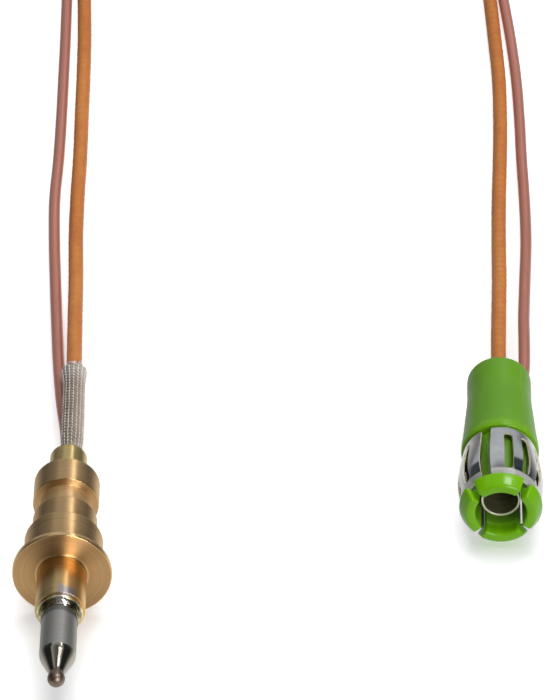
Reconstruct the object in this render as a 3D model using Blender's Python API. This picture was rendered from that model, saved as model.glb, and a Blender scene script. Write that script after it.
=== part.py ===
"""Two-wire thermocouple for a gas hob.

A probe head (flanged brass bush, nickel-chrome sheath and hot junction) and a
snap-in plug (green body, four spring claws, slotted spring cage and contact
tube) lie side by side and are joined by a pair of leads.  The spare length of
the leads is wound in a round coil behind them.

Frame: +Z up from the surface it lies on, probe and plug point to -Y, origin at
the middle of the head and plug on that surface.
"""
import math

import bmesh
import bpy
from mathutils import Matrix, Vector

MM = 0.001

# ------------------------------------------------------------------ dimensions
# All lengths in millimetres.  t runs along the head's axis from the flange's
# front face, positive to the tip.  s runs along the plug's axis from its
# shoulder, positive to the claws.
SEG = 32                       # facets round a turned piece
GAP = 0.3                      # gap between faces that meet

Y0 = 1.43                      # puts the origin midway between the tip and the sleeve's end
HEAD_X, HEAD_Y, HEAD_Z = -24.18, Y0 - 11.98, 5.5
PLUG_X, PLUG_Y, PLUG_Z = 24.87, Y0 + 11.73, 4.85
PLUG_YAW = -1.5                # degrees, plug lies slightly toed in
PLUG_ROLL = 5.0                # degrees, claws and cage turned on the plug's axis

FLANGE_R, FLANGE_BACK = 5.5, -0.75
BASE_R, BASE_BACK = 4.36, -5.9
COLLAR_R, COLLAR_BACK = 3.6, -9.7
NECK_R, NECK_BACK = 2.85, -12.7
REAR_RING_R, REAR_RING_BACK = 3.7, -16.6
SLEEVE_BORE, SLEEVE_SEAT = 2.80, -5.2
CORE_BORE = 1.55
FERRULE_BORE, FERRULE_SEAT = 2.15, -13.4

SLEEVE_R, SLEEVE_FRONT, SLEEVE_REAR = 2.75, 6.5, -4.9
SHEATH_R, SHEATH_BORE = 1.99, 1.60
SHEATH_REAR, CONE_START, CONE_END, CONE_TIP_R = -1.0, 14.3, 17.2, 0.85
BEAD_R, BEAD_T = 0.96, 18.0
FERRULE_R, FERRULE_IN, FERRULE_REAR = 2.10, 1.95, -21.3

BARREL_REAR, BARREL_REAR_R, BARREL_LIP_R = -13.5, 3.69, 4.42
BARREL_FRONT, SPIGOT_FRONT, SPIGOT_R = 0.7, 1.4, 3.42
CONTACT_R, CONTACT_IN, CONTACT_FRONT, CONTACT_REAR = 2.20, 1.95, 9.3, -4.4

CLAW_HALF = 36.5               # degrees, half the width of one claw
CLAW_ROOT, CLAW_IN, CLAW_OUT = 1.7, 2.80, 3.50
HOOK_BACK, HOOK_R, HOOK_FRONT, HOOK_FRONT_R = 10.2, 4.79, 11.9, 3.93
HINGE_S, HINGE_R = 1.9, 3.15

CAGE_T = 0.25
CAGE_SPLIT, CAGE_SPLIT_W = 113.8, 16.0      # degrees
CAGE_SLOTS, CAGE_PITCH, CAGE_SLOT_W = 12, 26.5, 13.0
SLOT_BACK, SLOT_FRONT = 2.3, 9.05

ORANGE_R, COPPER_R = 0.885, 0.68
COIL_X, COIL_Y, COIL_BOTTOM = 0.0, Y0 + 152.0, 0.5
COIL_ORANGE_R, COIL_COPPER_R = 15.45, 17.10
COIL_PITCH, COIL_EXTRA_TURNS = 1.84, 2
COIL_IN, COIL_OUT, COIL_TOP = 14.4, 17.95, 6.9


# --------------------------------------------------------------------- helpers
for old in list(bpy.data.objects):
    bpy.data.objects.remove(old, do_unlink=True)


def material(name, colour, roughness, metallic):
    m = bpy.data.materials.new(name)
    m.use_nodes = True
    p = m.node_tree.nodes["Principled BSDF"]
    p.inputs["Base Color"].default_value = (*colour, 1.0)
    p.inputs["Roughness"].default_value = roughness
    p.inputs["Metallic"].default_value = metallic
    m.diffuse_color = (*colour, 1.0)
    return m


BRASS = material("turned_brass", (0.62, 0.42, 0.20), 0.30, 1.0)
BRASS_TUBE = material("tube_brass", (0.60, 0.48, 0.20), 0.28, 1.0)
BRAZE = material("braze_alloy", (0.75, 0.66, 0.35), 0.18, 1.0)
STEEL = material("nickel_chrome", (0.33, 0.32, 0.31), 0.38, 1.0)
BEAD = material("weld_bead", (0.26, 0.20, 0.17), 0.30, 1.0)
WIRE = material("constantan", (0.55, 0.48, 0.42), 0.35, 1.0)
CERAMIC = material("ceramic", (0.85, 0.83, 0.78), 0.70, 0.0)
TINNED = material("tinned_copper", (0.68, 0.64, 0.58), 0.35, 1.0)
GLASS_CLOTH = material("fibreglass", (0.74, 0.70, 0.65), 0.85, 0.0)
CEMENT = material("cement", (0.66, 0.62, 0.56), 0.90, 0.0)
GREEN = material("green_plastic", (0.14, 0.38, 0.03), 0.35, 0.0)
NICKEL = material("nickel_plate", (0.66, 0.66, 0.65), 0.18, 1.0)
ORANGE = material("amber_wrap", (0.60, 0.22, 0.05), 0.45, 0.0)
COPPER = material("enamelled_copper", (0.55, 0.25, 0.18), 0.35, 0.3)
TIE = material("tie_strap", (0.80, 0.79, 0.76), 0.50, 0.0)


def empty(name, matrix):
    e = bpy.data.objects.new(name, None)
    bpy.context.scene.collection.objects.link(e)
    e.matrix_world = matrix
    return e


def finish(name, bm, mat, parent=None, location=(0, 0, 0), smooth=True):
    bmesh.ops.remove_doubles(bm, verts=bm.verts, dist=1e-6)
    bmesh.ops.recalc_face_normals(bm, faces=bm.faces)
    me = bpy.data.meshes.new(name)
    bm.to_mesh(me)
    bm.free()
    if smooth:
        me.shade_smooth()
        me.set_sharp_from_angle(angle=math.radians(35))
    me.materials.append(mat)
    ob = bpy.data.objects.new(name, me)
    bpy.context.scene.collection.objects.link(ob)
    ob.parent = parent
    ob.location = location
    return ob


def soften(outline, radius, steps=2):
    """Round the corners of a closed outline of (r, z) points."""
    out = []
    n = len(outline)
    for i, p in enumerate(outline):
        a, b = Vector(outline[i - 1]), Vector(outline[(i + 1) % n])
        p = Vector(p)
        u, v = (a - p), (b - p)
        cut = min(radius, 0.42 * u.length, 0.42 * v.length)
        turn = u.angle(-v) if u.length > 1e-9 and v.length > 1e-9 else 0.0
        if turn < math.radians(12) or radius <= 0:
            out.append(tuple(p))
            continue
        q0, q1 = p + u.normalized() * cut, p + v.normalized() * cut
        for k in range(steps + 1):
            w = k / steps
            out.append(tuple((1 - w) ** 2 * q0 + 2 * w * (1 - w) * p + w * w * q1))
    return out


def turned(name, outline, mat, parent, closed=True, seg=SEG):
    """A turned piece: an outline of (r, z) points spun round the Z axis."""
    bm = bmesh.new()
    vs = [bm.verts.new((r * MM, 0.0, z * MM)) for r, z in outline]
    pairs = list(zip(vs, vs[1:])) + ([(vs[-1], vs[0])] if closed else [])
    es = [bm.edges.new(p) for p in pairs]
    bmesh.ops.spin(bm, geom=vs + es, cent=(0, 0, 0), axis=(0, 0, 1), dvec=(0, 0, 0),
                   angle=2 * math.pi, steps=seg, use_merge=True, use_duplicate=False)
    return finish(name, bm, mat, parent)


def pipe(r_out, r_in, z0, z1):
    return [(r_out, z1), (r_out, z0), (r_in, z0), (r_in, z1)]


def rod(r, z0, z1):
    return [(0.0, z1), (r, z1), (r, z0), (0.0, z0)]


def smooth_route(points, step):
    """Points at even spacing on a smooth curve through the route's own points."""
    pts = [Vector(p) for p in points]
    pts = [2 * pts[0] - pts[1]] + pts + [2 * pts[-1] - pts[-2]]
    fine = []
    for i in range(1, len(pts) - 2):
        p0, p1, p2, p3 = pts[i - 1:i + 3]
        t1 = (p1 - p0).length ** 0.5
        t2 = t1 + (p2 - p1).length ** 0.5
        t3 = t2 + (p3 - p2).length ** 0.5
        for k in range(24):
            t = t1 + (t2 - t1) * k / 24
            a1 = p0 * ((t1 - t) / t1) + p1 * (t / t1)
            a2 = p1 * ((t2 - t) / (t2 - t1)) + p2 * ((t - t1) / (t2 - t1))
            a3 = p2 * ((t3 - t) / (t3 - t2)) + p3 * ((t - t2) / (t3 - t2))
            b1 = a1 * ((t2 - t) / t2) + a2 * (t / t2)
            b2 = a2 * ((t3 - t) / (t3 - t1)) + a3 * ((t - t1) / (t3 - t1))
            fine.append(b1 * ((t2 - t) / (t2 - t1)) + b2 * ((t - t1) / (t2 - t1)))
    fine.append(pts[-2])
    return even(fine, step)


def even(fine, step):
    run = [0.0]
    for a, b in zip(fine, fine[1:]):
        run.append(run[-1] + (b - a).length)
    n = max(2, round(run[-1] / step) + 1)
    out, j = [], 0
    for i in range(n):
        want = run[-1] * i / (n - 1)
        while j < len(run) - 2 and run[j + 1] < want:
            j += 1
        w = (want - run[j]) / max(run[j + 1] - run[j], 1e-9)
        out.append(fine[j].lerp(fine[j + 1], min(max(w, 0.0), 1.0)))
    return out


def cord(name, points, radius, mat, parent=None):
    """A round tube with flat ends along a list of points in millimetres."""
    cu = bpy.data.curves.new(name, "CURVE")
    cu.dimensions = "3D"
    cu.bevel_depth = radius * MM
    cu.bevel_resolution = 2
    cu.use_fill_caps = True
    sp = cu.splines.new("POLY")
    sp.points.add(len(points) - 1)
    for q, p in zip(sp.points, points):
        q.co = (p[0] * MM, p[1] * MM, p[2] * MM, 1.0)
    cu.materials.append(mat)
    ob = bpy.data.objects.new(name, cu)
    bpy.context.scene.collection.objects.link(ob)
    ob.parent = parent
    return ob


def hose(name, path, outer, inner, mat, sides=16):
    """A hollow sleeve along a path, with a radius for each point of it."""
    bm = bmesh.new()
    rings = []
    for i, p in enumerate(path):
        a, b = path[max(i - 1, 0)], path[min(i + 1, len(path) - 1)]
        d = (b - a).normalized()
        side = d.cross(Vector((0, 0, 1))).normalized()
        up = side.cross(d)
        for r, keep in ((outer[i], 0), (inner[i], 1)):
            rings.append([bm.verts.new((p + side * (r * math.cos(2 * math.pi * k / sides))
                                        + up * (r * math.sin(2 * math.pi * k / sides))) * MM)
                          for k in range(sides)])
    n = len(path)
    for i in range(n - 1):
        for k in range(sides):
            j = (k + 1) % sides
            for lay in (0, 1):
                a, b = rings[2 * i + lay], rings[2 * i + 2 + lay]
                bm.faces.new((a[k], a[j], b[j], b[k]))
    for i in (0, n - 1):
        for k in range(sides):
            j = (k + 1) % sides
            bm.faces.new((rings[2 * i][k], rings[2 * i][j], rings[2 * i + 1][j], rings[2 * i + 1][k]))
    return finish(name, bm, mat)


# ------------------------------------------------------------------ probe head
# Local +Z of this empty is the probe's axis, towards the tip.
head = empty("head_axis", Matrix.Translation((HEAD_X * MM, HEAD_Y * MM, HEAD_Z * MM))
             @ Matrix.Rotation(math.pi / 2, 4, "X"))

bush_outside = [
    (FLANGE_R, 0.0), (FLANGE_R, FLANGE_BACK), (BASE_R, FLANGE_BACK), (BASE_R, BASE_BACK),
    (COLLAR_R, BASE_BACK), (COLLAR_R, COLLAR_BACK), (NECK_R, COLLAR_BACK), (NECK_R, NECK_BACK),
    (REAR_RING_R, NECK_BACK), (REAR_RING_R, REAR_RING_BACK),
]
bush_inside = [
    (FERRULE_BORE, REAR_RING_BACK), (FERRULE_BORE, FERRULE_SEAT), (CORE_BORE, FERRULE_SEAT),
    (CORE_BORE, SLEEVE_SEAT), (SLEEVE_BORE, SLEEVE_SEAT), (SLEEVE_BORE, 0.0),
]
bush_line = bush_outside + bush_inside
rounded = soften(bush_line, 0.14, 1)
turned("mounting_bush", rounded[:2 * len(bush_outside)] + bush_inside, BRASS, head)

turned("sensor_sleeve", [
    (SLEEVE_R, SLEEVE_FRONT), (SLEEVE_R, SLEEVE_REAR), (1.25, SLEEVE_REAR),
    (1.25, SHEATH_REAR - 0.3), (SHEATH_R + 0.07, SHEATH_REAR - 0.3),
    (SHEATH_R + 0.07, SLEEVE_FRONT)], BRASS_TUBE, head)

turned("braze_ring", [
    (SHEATH_R + 0.07, 6.55), (2.66, 6.55), (2.76, 6.75), (2.74, 7.05), (2.60, 7.35),
    (2.36, 7.62), (2.18, 7.85), (SHEATH_R + 0.07, 7.95)][::-1], BRAZE, head)

turned("sheath_tube", [
    (SHEATH_R, CONE_START), (SHEATH_R, SHEATH_REAR), (SHEATH_BORE, SHEATH_REAR),
    (SHEATH_BORE, CONE_START - 0.5), (0.46, CONE_END - 0.7), (0.46, CONE_END),
    (CONE_TIP_R, CONE_END), (SHEATH_R - 0.12, CONE_START + 0.35)], STEEL, head)

bead_line = [(0.0, CONE_END + 0.06), (0.80, CONE_END + 0.06)]
for k in range(1, 10):
    a = math.radians(-34 + 124 * k / 9)
    bead_line.append((max(BEAD_R * math.cos(a), 0.0), BEAD_T + BEAD_R * math.sin(a)))
bead_line[-1] = (0.0, BEAD_T + BEAD_R)
turned("hot_junction_bead", bead_line[::-1], BEAD, head, closed=False, seg=20)

turned("core_wire", rod(0.38, -7.6, CONE_END - 0.05), WIRE, head, closed=False, seg=16)
turned("insulator_tube", [
    (1.52, 13.2), (1.52, -0.9), (1.18, -0.9), (1.18, -4.7), (0.46, -4.7), (0.46, 13.2)],
    CERAMIC, head, seg=24)
turned("splice_crimp", pipe(0.90, 0.44, -11.6, -5.5), TINNED, head, seg=20)
turned("splice_insulation", pipe(1.44, 1.00, -12.6, -5.4), CERAMIC, head, seg=24)
turned("rear_ferrule", soften(pipe(FERRULE_R, FERRULE_IN, FERRULE_REAR, FERRULE_SEAT - 0.2), 0.06, 1),
       BRASS_TUBE, head)
turned("lead_seal", pipe(1.88, 0.46, -15.6, -13.9), CEMENT, head, seg=24)


def head_point(x, y, t):
    """World point in millimetres of a place beside the head's axis."""
    return Vector((HEAD_X + x, HEAD_Y - t, HEAD_Z + y))


# ------------------------------------------------------------------------ plug
# Local +Z is the plug's axis, towards the claws; local +X is to the right.
plug_frame = (Matrix.Translation((PLUG_X * MM, PLUG_Y * MM, PLUG_Z * MM))
              @ Matrix.Rotation(math.radians(PLUG_YAW), 4, "Z")
              @ Matrix.Rotation(math.pi / 2, 4, "X"))
plug = empty("plug_axis", plug_frame)


def plug_point(x, y, s):
    """World point in millimetres of a place beside the plug's axis."""
    return (plug_frame @ (Vector((x, y, s)) * MM)) / MM


body_line = [
    (SPIGOT_R, SPIGOT_FRONT), (SPIGOT_R, BARREL_FRONT), (BARREL_LIP_R - 0.46, BARREL_FRONT),
    (BARREL_LIP_R - 0.18, BARREL_FRONT - 0.12), (BARREL_LIP_R - 0.02, BARREL_FRONT - 0.48),
    (BARREL_LIP_R, -0.35), (4.36, -1.0), (4.24, -2.1), (4.0, -5.2), (3.77, -8.3), (3.69, -9.9),
    (3.71, -11.5), (BARREL_REAR_R, BARREL_REAR + 0.35), (BARREL_REAR_R - 0.12, BARREL_REAR + 0.1),
    (BARREL_REAR_R - 0.38, BARREL_REAR),
    (0.94, BARREL_REAR), (0.94, -9.0), (1.20, -9.0), (1.20, -4.6), (2.27, -4.6), (2.27, SPIGOT_FRONT)]
body = turned("plug_body", body_line, GREEN, plug)

# Slanting passage for the ground lead, from the rear face to the spigot: wide
# for the enamelled lead, then narrow for its bare end.
PASS_REAR, PASS_FRONT = Vector((2.70, 0.0, BARREL_REAR)), Vector((3.20, 0.0, SPIGOT_FRONT))
PASS_STEP = -8.0
along = (PASS_FRONT - PASS_REAR).normalized()


def drill(name, radius, s0, s1):
    """Cut a round hole along the passage's line, from s0 to s1."""
    bm = bmesh.new()
    p, q = (PASS_REAR + along * ((s - BARREL_REAR) / along.z) for s in (s0, s1))
    bmesh.ops.create_cone(bm, cap_ends=True, segments=16, radius1=radius * MM, radius2=radius * MM,
                          depth=(q - p).length * MM)
    tool = finish(name, bm, GREEN, plug)
    tool.matrix_local = (Matrix.Translation((p + q) / 2 * MM)
                         @ Vector((0, 0, 1)).rotation_difference(along).to_matrix().to_4x4())
    tool.hide_render = True
    tool.display_type = "WIRE"
    cut = body.modifiers.new(name, "BOOLEAN")
    cut.operation = "DIFFERENCE"
    cut.object = tool
    cut.solver = "EXACT"


drill("ground_passage_drill", 0.74, BARREL_REAR - 2.0, PASS_STEP)
drill("ground_end_drill", 0.47, PASS_STEP - 0.5, SPIGOT_FRONT + 2.0)

turned("contact_tube", pipe(CONTACT_R, CONTACT_IN, CONTACT_REAR, CONTACT_FRONT), BRASS_TUBE, plug)
turned("contact_crimp", [
    (0.0, -2.5), (1.88, -2.5), (1.88, -4.2), (1.10, -4.2), (1.10, -8.8), (0.42, -8.8),
    (0.42, -5.0), (0.0, -5.0)], TINNED, plug, closed=False, seg=24)

# Claws: one arc of the ring each, with the finger's root on its own hinge line.
claw_line = [
    (CLAW_OUT, CLAW_ROOT), (CLAW_IN, CLAW_ROOT), (CLAW_IN, HOOK_FRONT - 0.8), (2.90, HOOK_FRONT),
    (HOOK_FRONT_R, HOOK_FRONT), (HOOK_R, HOOK_BACK + 0.12), (HOOK_R - 0.1, HOOK_BACK),
    (CLAW_OUT, HOOK_BACK)]


def claw(name, middle):
    """A claw whose middle lies at this angle (degrees) on the plug's axis."""
    bm = bmesh.new()
    steps = 8
    rings = []
    for k in range(steps + 1):
        a = math.radians(middle - CLAW_HALF + 2 * CLAW_HALF * k / steps)
        rings.append([bm.verts.new((r * MM * math.cos(a), r * MM * math.sin(a), s * MM))
                      for r, s in claw_line])
    for a, b in zip(rings, rings[1:]):
        for i in range(len(a)):
            j = (i + 1) % len(a)
            bm.faces.new((a[i], a[j], b[j], b[i]))
    bm.faces.new(rings[0])
    bm.faces.new(rings[-1][::-1])
    m = math.radians(middle)
    pivot = Vector((HINGE_R * math.cos(m), HINGE_R * math.sin(m), HINGE_S)) * MM
    bmesh.ops.translate(bm, verts=bm.verts, vec=-pivot)
    return finish(name, bm, GREEN, plug, location=pivot)


for k, name in enumerate(("claw_right", "claw_top", "claw_left", "claw_bottom")):
    claw(name, PLUG_ROLL + 90 * k)


# Spring cage: a split, slotted and bulged sleeve of spring sheet.
CAGE_LINE = [(0.95, 4.18), (1.35, 4.26), (SLOT_BACK, 4.38), (4.2, 4.64), (6.3, 4.81),
             (7.9, 4.74), (SLOT_FRONT, 4.46), (9.9, 4.12)]
cage_cols = []                 # (angle, the column to its right is a slot)
start = CAGE_SPLIT - CAGE_SPLIT_W / 2
first = CAGE_SPLIT - 34.1
edge = start
for i in range(CAGE_SLOTS):
    c = first - CAGE_PITCH * i
    left, right = c + CAGE_SLOT_W / 2, c - CAGE_SLOT_W / 2
    cage_cols += [(edge, False), ((edge + left) / 2, False), (left, True), (c, True)]
    edge = right
last = CAGE_SPLIT + CAGE_SPLIT_W / 2 - 360
cage_cols += [(edge, False), ((edge + last) / 2, False), (last, None)]

bm = bmesh.new()
grid = {}


def cage_vert(i, j, lay):
    if (i, j, lay) not in grid:
        s, r = CAGE_LINE[j]
        r -= CAGE_T * lay
        a = math.radians(cage_cols[i][0])
        grid[i, j, lay] = bm.verts.new((r * MM * math.cos(a), r * MM * math.sin(a), s * MM))
    return grid[i, j, lay]


slot_rows = {j for j in range(len(CAGE_LINE) - 1)
             if CAGE_LINE[j][0] >= SLOT_BACK and CAGE_LINE[j + 1][0] <= SLOT_FRONT}
cells = {(i, j) for i in range(len(cage_cols) - 1) for j in range(len(CAGE_LINE) - 1)
         if not (cage_cols[i][1] and j in slot_rows)}
for i, j in sorted(cells):
    for lay in (0, 1):
        bm.faces.new([cage_vert(i, j, lay), cage_vert(i + 1, j, lay),
                      cage_vert(i + 1, j + 1, lay), cage_vert(i, j + 1, lay)])
    for (di, dj), (p, q) in {(-1, 0): ((0, 0), (0, 1)), (1, 0): ((1, 0), (1, 1)),
                             (0, -1): ((0, 0), (1, 0)), (0, 1): ((0, 1), (1, 1))}.items():
        if (i + di, j + dj) not in cells:
            bm.faces.new([cage_vert(i + p[0], j + p[1], 0), cage_vert(i + q[0], j + q[1], 0),
                          cage_vert(i + q[0], j + q[1], 1), cage_vert(i + p[0], j + p[1], 1)])
finish("spring_cage", bm, NICKEL, plug)


# ----------------------------------------------------------------------- leads
def coil_points(radius, z_low, first_deg, last_deg):
    """Turns of a lead in the coil, clockwise from above and rising evenly."""
    sweep = first_deg - last_deg + 360 * COIL_EXTRA_TURNS
    n = round(sweep / 15)
    return [Vector((COIL_X + radius * math.cos(math.radians(first_deg - sweep * k / n)),
                    COIL_Y + radius * math.sin(math.radians(first_deg - sweep * k / n)),
                    z_low + COIL_PITCH * sweep * k / n / 360)) for k in range(n + 1)]


def tangent_angle(p, radius):
    """Where the straight run from p meets a coil of this radius, on its outer side."""
    dx, dy = COIL_X - p.x, COIL_Y - p.y
    reach = math.degrees(math.asin(radius / math.hypot(dx, dy)))
    toward = math.degrees(math.atan2(dy, dx))
    return toward + reach + 90 if dx > 0 else toward - reach - 90


def easy_bend(run, end, after):
    """Points of one long bend from the end of a run to where the coil begins."""
    start, reach = run[-1], (end - run[-1]).length / 3
    p1 = start + (start - run[-2]).normalized() * reach
    p2 = end - (after - end).normalized() * reach
    return [start * (1 - u) ** 3 + p1 * (3 * u * (1 - u) ** 2) + p2 * (3 * u * u * (1 - u)) + end * u ** 3
            for u in (0.2, 0.4, 0.6, 0.8)]


def lead_route(near_head, near_plug, radius, lead_r):
    """A whole lead: from the head, round the coil, to the plug."""
    a_in, a_out = tangent_angle(near_head[-1], radius), tangent_angle(near_plug[-1], radius)
    turns = coil_points(radius, COIL_BOTTOM + lead_r + 0.02, a_in, a_out)
    return (near_head + easy_bend(near_head, turns[0], turns[1]) + turns
            + easy_bend(near_plug, turns[-1], turns[-2])[::-1] + near_plug[::-1])


def floor_run(points, r):
    return [Vector((x, Y0 + y, z if z > 0 else r + 0.05)) for x, y, z in points]


ORANGE_AT, COPPER_AT = (0.32, 0.64), (-0.15, -1.20)   # places in the ferrule's mouth
orange_head = [head_point(*ORANGE_AT, t) for t in (-17.0, -19.2, FERRULE_REAR, -23.0)] + floor_run([
    (-24.02, 22.0, 5.25), (-24.28, 31.0, 4.15), (-24.55, 41.0, 2.85), (-24.80, 51.0, 1.75),
    (-25.13, 60.5, 1.08), (-25.24, 69.5, 0), (-25.20, 78.5, 0), (-25.29, 87.5, 0),
    (-25.37, 97.0, 0), (-25.53, 106.5, 0), (-25.86, 116.5, 0), (-26.05, 122.0, 0)], ORANGE_R)
copper_head = [head_point(*COPPER_AT, t) for t in (-16.2, -18.8, FERRULE_REAR)] + [head_point(-0.26, -1.27, -23.0)] + floor_run([
    (-24.75, 16.5, 3.86), (-25.42, 22.5, 3.38), (-26.12, 31.0, 2.55), (-26.73, 41.0, 1.80), (-27.29, 51.0, 1.15),
    (-27.77, 60.5, 0.78), (-28.05, 69.4, 0), (-27.89, 78.4, 0), (-27.87, 87.6, 0),
    (-27.93, 97.0, 0), (-28.01, 106.7, 0), (-28.16, 116.6, 0), (-28.25, 122.0, 0)], COPPER_R)
orange_plug = [plug_point(0, 0, s) for s in (-9.45, -11.5, BARREL_REAR, -15.5)] + floor_run([
    (25.50, 34.2, 4.40), (25.71, 39.0, 3.85), (26.16, 49.2, 2.60), (26.50, 59.5, 1.48),
    (26.87, 69.1, 0.97), (27.31, 78.1, 0), (27.67, 87.3, 0), (27.83, 96.7, 0),
    (27.64, 106.4, 0), (27.36, 116.3, 0), (27.15, 122.0, 0)], ORANGE_R)


def in_passage(s):
    p = PASS_REAR + along * ((s - BARREL_REAR) / along.z)
    return plug_point(*p)


copper_plug = [in_passage(s) for s in (PASS_STEP - 0.3, -9.8, -11.6, BARREL_REAR)] + [plug_point(2.93, 0, -15.9)] + floor_run([
    (28.52, 34.2, 4.40), (28.68, 39.0, 3.80), (29.25, 49.3, 2.48), (29.83, 59.7, 1.28),
    (30.03, 69.4, 0.78), (30.04, 78.4, 0), (30.13, 87.6, 0), (30.08, 97.0, 0),
    (29.73, 106.7, 0), (29.15, 116.6, 0), (28.84, 122.0, 0)], COPPER_R)


def outside_coil(points, r):
    """The part of a route before it comes up to the coil's solid."""
    out = []
    for p in points:
        if math.hypot(p.x - COIL_X, p.y - COIL_Y) < COIL_OUT + r + GAP + 0.1:
            break
        out.append(p)
    return out


for colour, mat, r, near_head, near_plug, coil_r in (
        ("orange", ORANGE, ORANGE_R, orange_head, orange_plug, COIL_ORANGE_R),
        ("copper", COPPER, COPPER_R, copper_head, copper_plug, COIL_COPPER_R)):
    whole = [Vector((p.x, p.y, max(p.z, r + 0.02)))
             for p in smooth_route(lead_route(near_head, near_plug, coil_r, r), 0.5)]
    for side, run in (("head", whole), ("plug", whole[::-1])):
        cord(f"{colour}_lead_{side}_side", even(outside_coil(run, r), 6.0), r, mat)

# Braided sleeve over the first stretch of the orange lead, squeezed into the
# ferrule at one end and open at the other.
sleeve_line = [p for p in smooth_route(orange_head, 0.1) if Y0 + 7.6 <= p.y <= Y0 + 27.9]
sleeve_path = even(sleeve_line, 2.4)
grow = [min(max((p.y - Y0 - 10.5) / 4.5, 0.0), 1.0) for p in sleeve_path]
flare = [min(max((p.y - Y0 - 24.2) / 3.7, 0.0), 1.0) for p in sleeve_path]
hose("fibreglass_sleeve", sleeve_path,
     [1.18 + 0.12 * g + 0.20 * f for g, f in zip(grow, flare)],
     [0.95 + 0.03 * g + 0.20 * f for g, f in zip(grow, flare)], GLASS_CLOTH, sides=12)

# Bare ends of the conductors, inside the head and inside the plug.
cord("orange_lead_core_head", [head_point(*ORANGE_AT, -16.85), head_point(0.28, 0.55, -16.6),
                               head_point(0.085, 0.165, -16.0), head_point(0, 0, -15.75),
                               head_point(0, 0, -12.0), head_point(0, 0, -8.2)], 0.34, TINNED)
cord("orange_lead_core_plug", [plug_point(0, 0, -9.3), plug_point(0, 0, -5.3)], 0.34, TINNED)
cord("ground_wire_end", [in_passage(PASS_STEP - 0.1), in_passage(-3.5), in_passage(1.15)], 0.40, COPPER)

# The spare length: one round coil, held by a strap at its far side.
coil = empty("coil_axis", Matrix.Translation((COIL_X * MM, COIL_Y * MM, 0)))
turned("lead_coil", soften(pipe(COIL_OUT, COIL_IN, COIL_BOTTOM, COIL_TOP), 0.7, 1), ORANGE, coil, seg=36)

TIE_T, TIE_W, TIE_GAP = 0.25, 2.4, 0.22
bm = bmesh.new()
loops = []
for x in (-TIE_W / 2, TIE_W / 2):
    for off in (TIE_GAP, TIE_GAP + TIE_T):
        y0, y1, z0, z1 = COIL_IN - off, COIL_OUT + off, COIL_BOTTOM - off, COIL_TOP + off
        loops.append([bm.verts.new(Vector((x, y, z)) * MM)
                      for y, z in ((y0, z0), (y1, z0), (y1, z1), (y0, z1))])
for k in range(4):
    j = (k + 1) % 4
    for a, b in ((0, 1), (2, 3), (0, 2), (1, 3)):
        bm.faces.new((loops[a][k], loops[a][j], loops[b][j], loops[b][k]))
finish("coil_tie", bm, TIE, coil, smooth=False)
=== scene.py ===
"""Looks of the two-wire thermocouple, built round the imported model."""

import math
import random

import bmesh
import bpy
from mathutils import Matrix, Vector, noise


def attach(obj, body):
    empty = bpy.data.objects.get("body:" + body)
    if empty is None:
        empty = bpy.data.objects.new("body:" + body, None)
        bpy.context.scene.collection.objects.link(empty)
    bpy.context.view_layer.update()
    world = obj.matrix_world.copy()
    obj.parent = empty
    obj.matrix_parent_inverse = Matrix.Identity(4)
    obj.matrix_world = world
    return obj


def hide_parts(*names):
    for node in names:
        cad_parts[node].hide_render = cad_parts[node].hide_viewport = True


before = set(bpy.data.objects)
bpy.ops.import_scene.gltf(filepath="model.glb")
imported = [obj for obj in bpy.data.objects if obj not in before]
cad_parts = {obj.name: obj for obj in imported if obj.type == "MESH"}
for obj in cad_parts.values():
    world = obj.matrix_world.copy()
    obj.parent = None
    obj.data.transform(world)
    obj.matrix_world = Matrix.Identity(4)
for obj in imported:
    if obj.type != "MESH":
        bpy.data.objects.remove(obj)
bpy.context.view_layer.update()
MM = 0.001
ROOT = "thermocouple"
ROLL = random.Random(11)

# ------------------------------------------------------------------ dimensions
# Millimetres.  t runs along the head's axis from the flange's front face to the
# tip, s along the plug's axis from its shoulder to the claws.
Y0 = 1.43
HEAD = (-24.18, Y0 - 11.98, 5.5)
PLUG = (24.87, Y0 + 11.73, 4.85)
PLUG_YAW, PLUG_ROLL = -1.5, 5.0
ORANGE_R, COPPER_R = 0.885, 0.68
COIL_X, COIL_Y, COIL_BOTTOM, COIL_TOP = 0.0, Y0 + 152.0, 0.5, 6.9
COIL_IN, COIL_OUT = 14.4, 17.95
COIL_ORANGE_R, COIL_COPPER_R, COIL_PITCH, COIL_EXTRA_TURNS = 15.45, 17.10, 1.84, 2
FERRULE_REAR, BARREL_REAR, SPIGOT_FRONT = -21.3, -13.5, 1.4

head_frame = (Matrix.Translation(Vector(HEAD) * MM) @ Matrix.Rotation(math.pi / 2, 4, "X"))
plug_frame = (Matrix.Translation(Vector(PLUG) * MM)
              @ Matrix.Rotation(math.radians(PLUG_YAW), 4, "Z")
              @ Matrix.Rotation(math.pi / 2, 4, "X"))

# ---------------------------------------------------------------------- camera
EL, REACH, FOCAL_PX, HIGH_PX = math.radians(35.5), 0.600, 5051.4, 700
target = Vector((-0.00025, 0.03978, 0.0))
cam_data = bpy.data.cameras.new("camera")
cam_data.sensor_fit = "VERTICAL"
cam_data.sensor_height = 36.0
cam_data.lens = FOCAL_PX * 36.0 / HIGH_PX
cam_data.clip_start, cam_data.clip_end = 0.01, 50.0
cam = bpy.data.objects.new("camera", cam_data)
bpy.context.scene.collection.objects.link(cam)
cam.location = target + REACH * Vector((0, -math.cos(EL), math.sin(EL)))
cam.rotation_euler = (math.pi / 2 - EL, 0, 0)
bpy.context.scene.camera = cam


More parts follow.
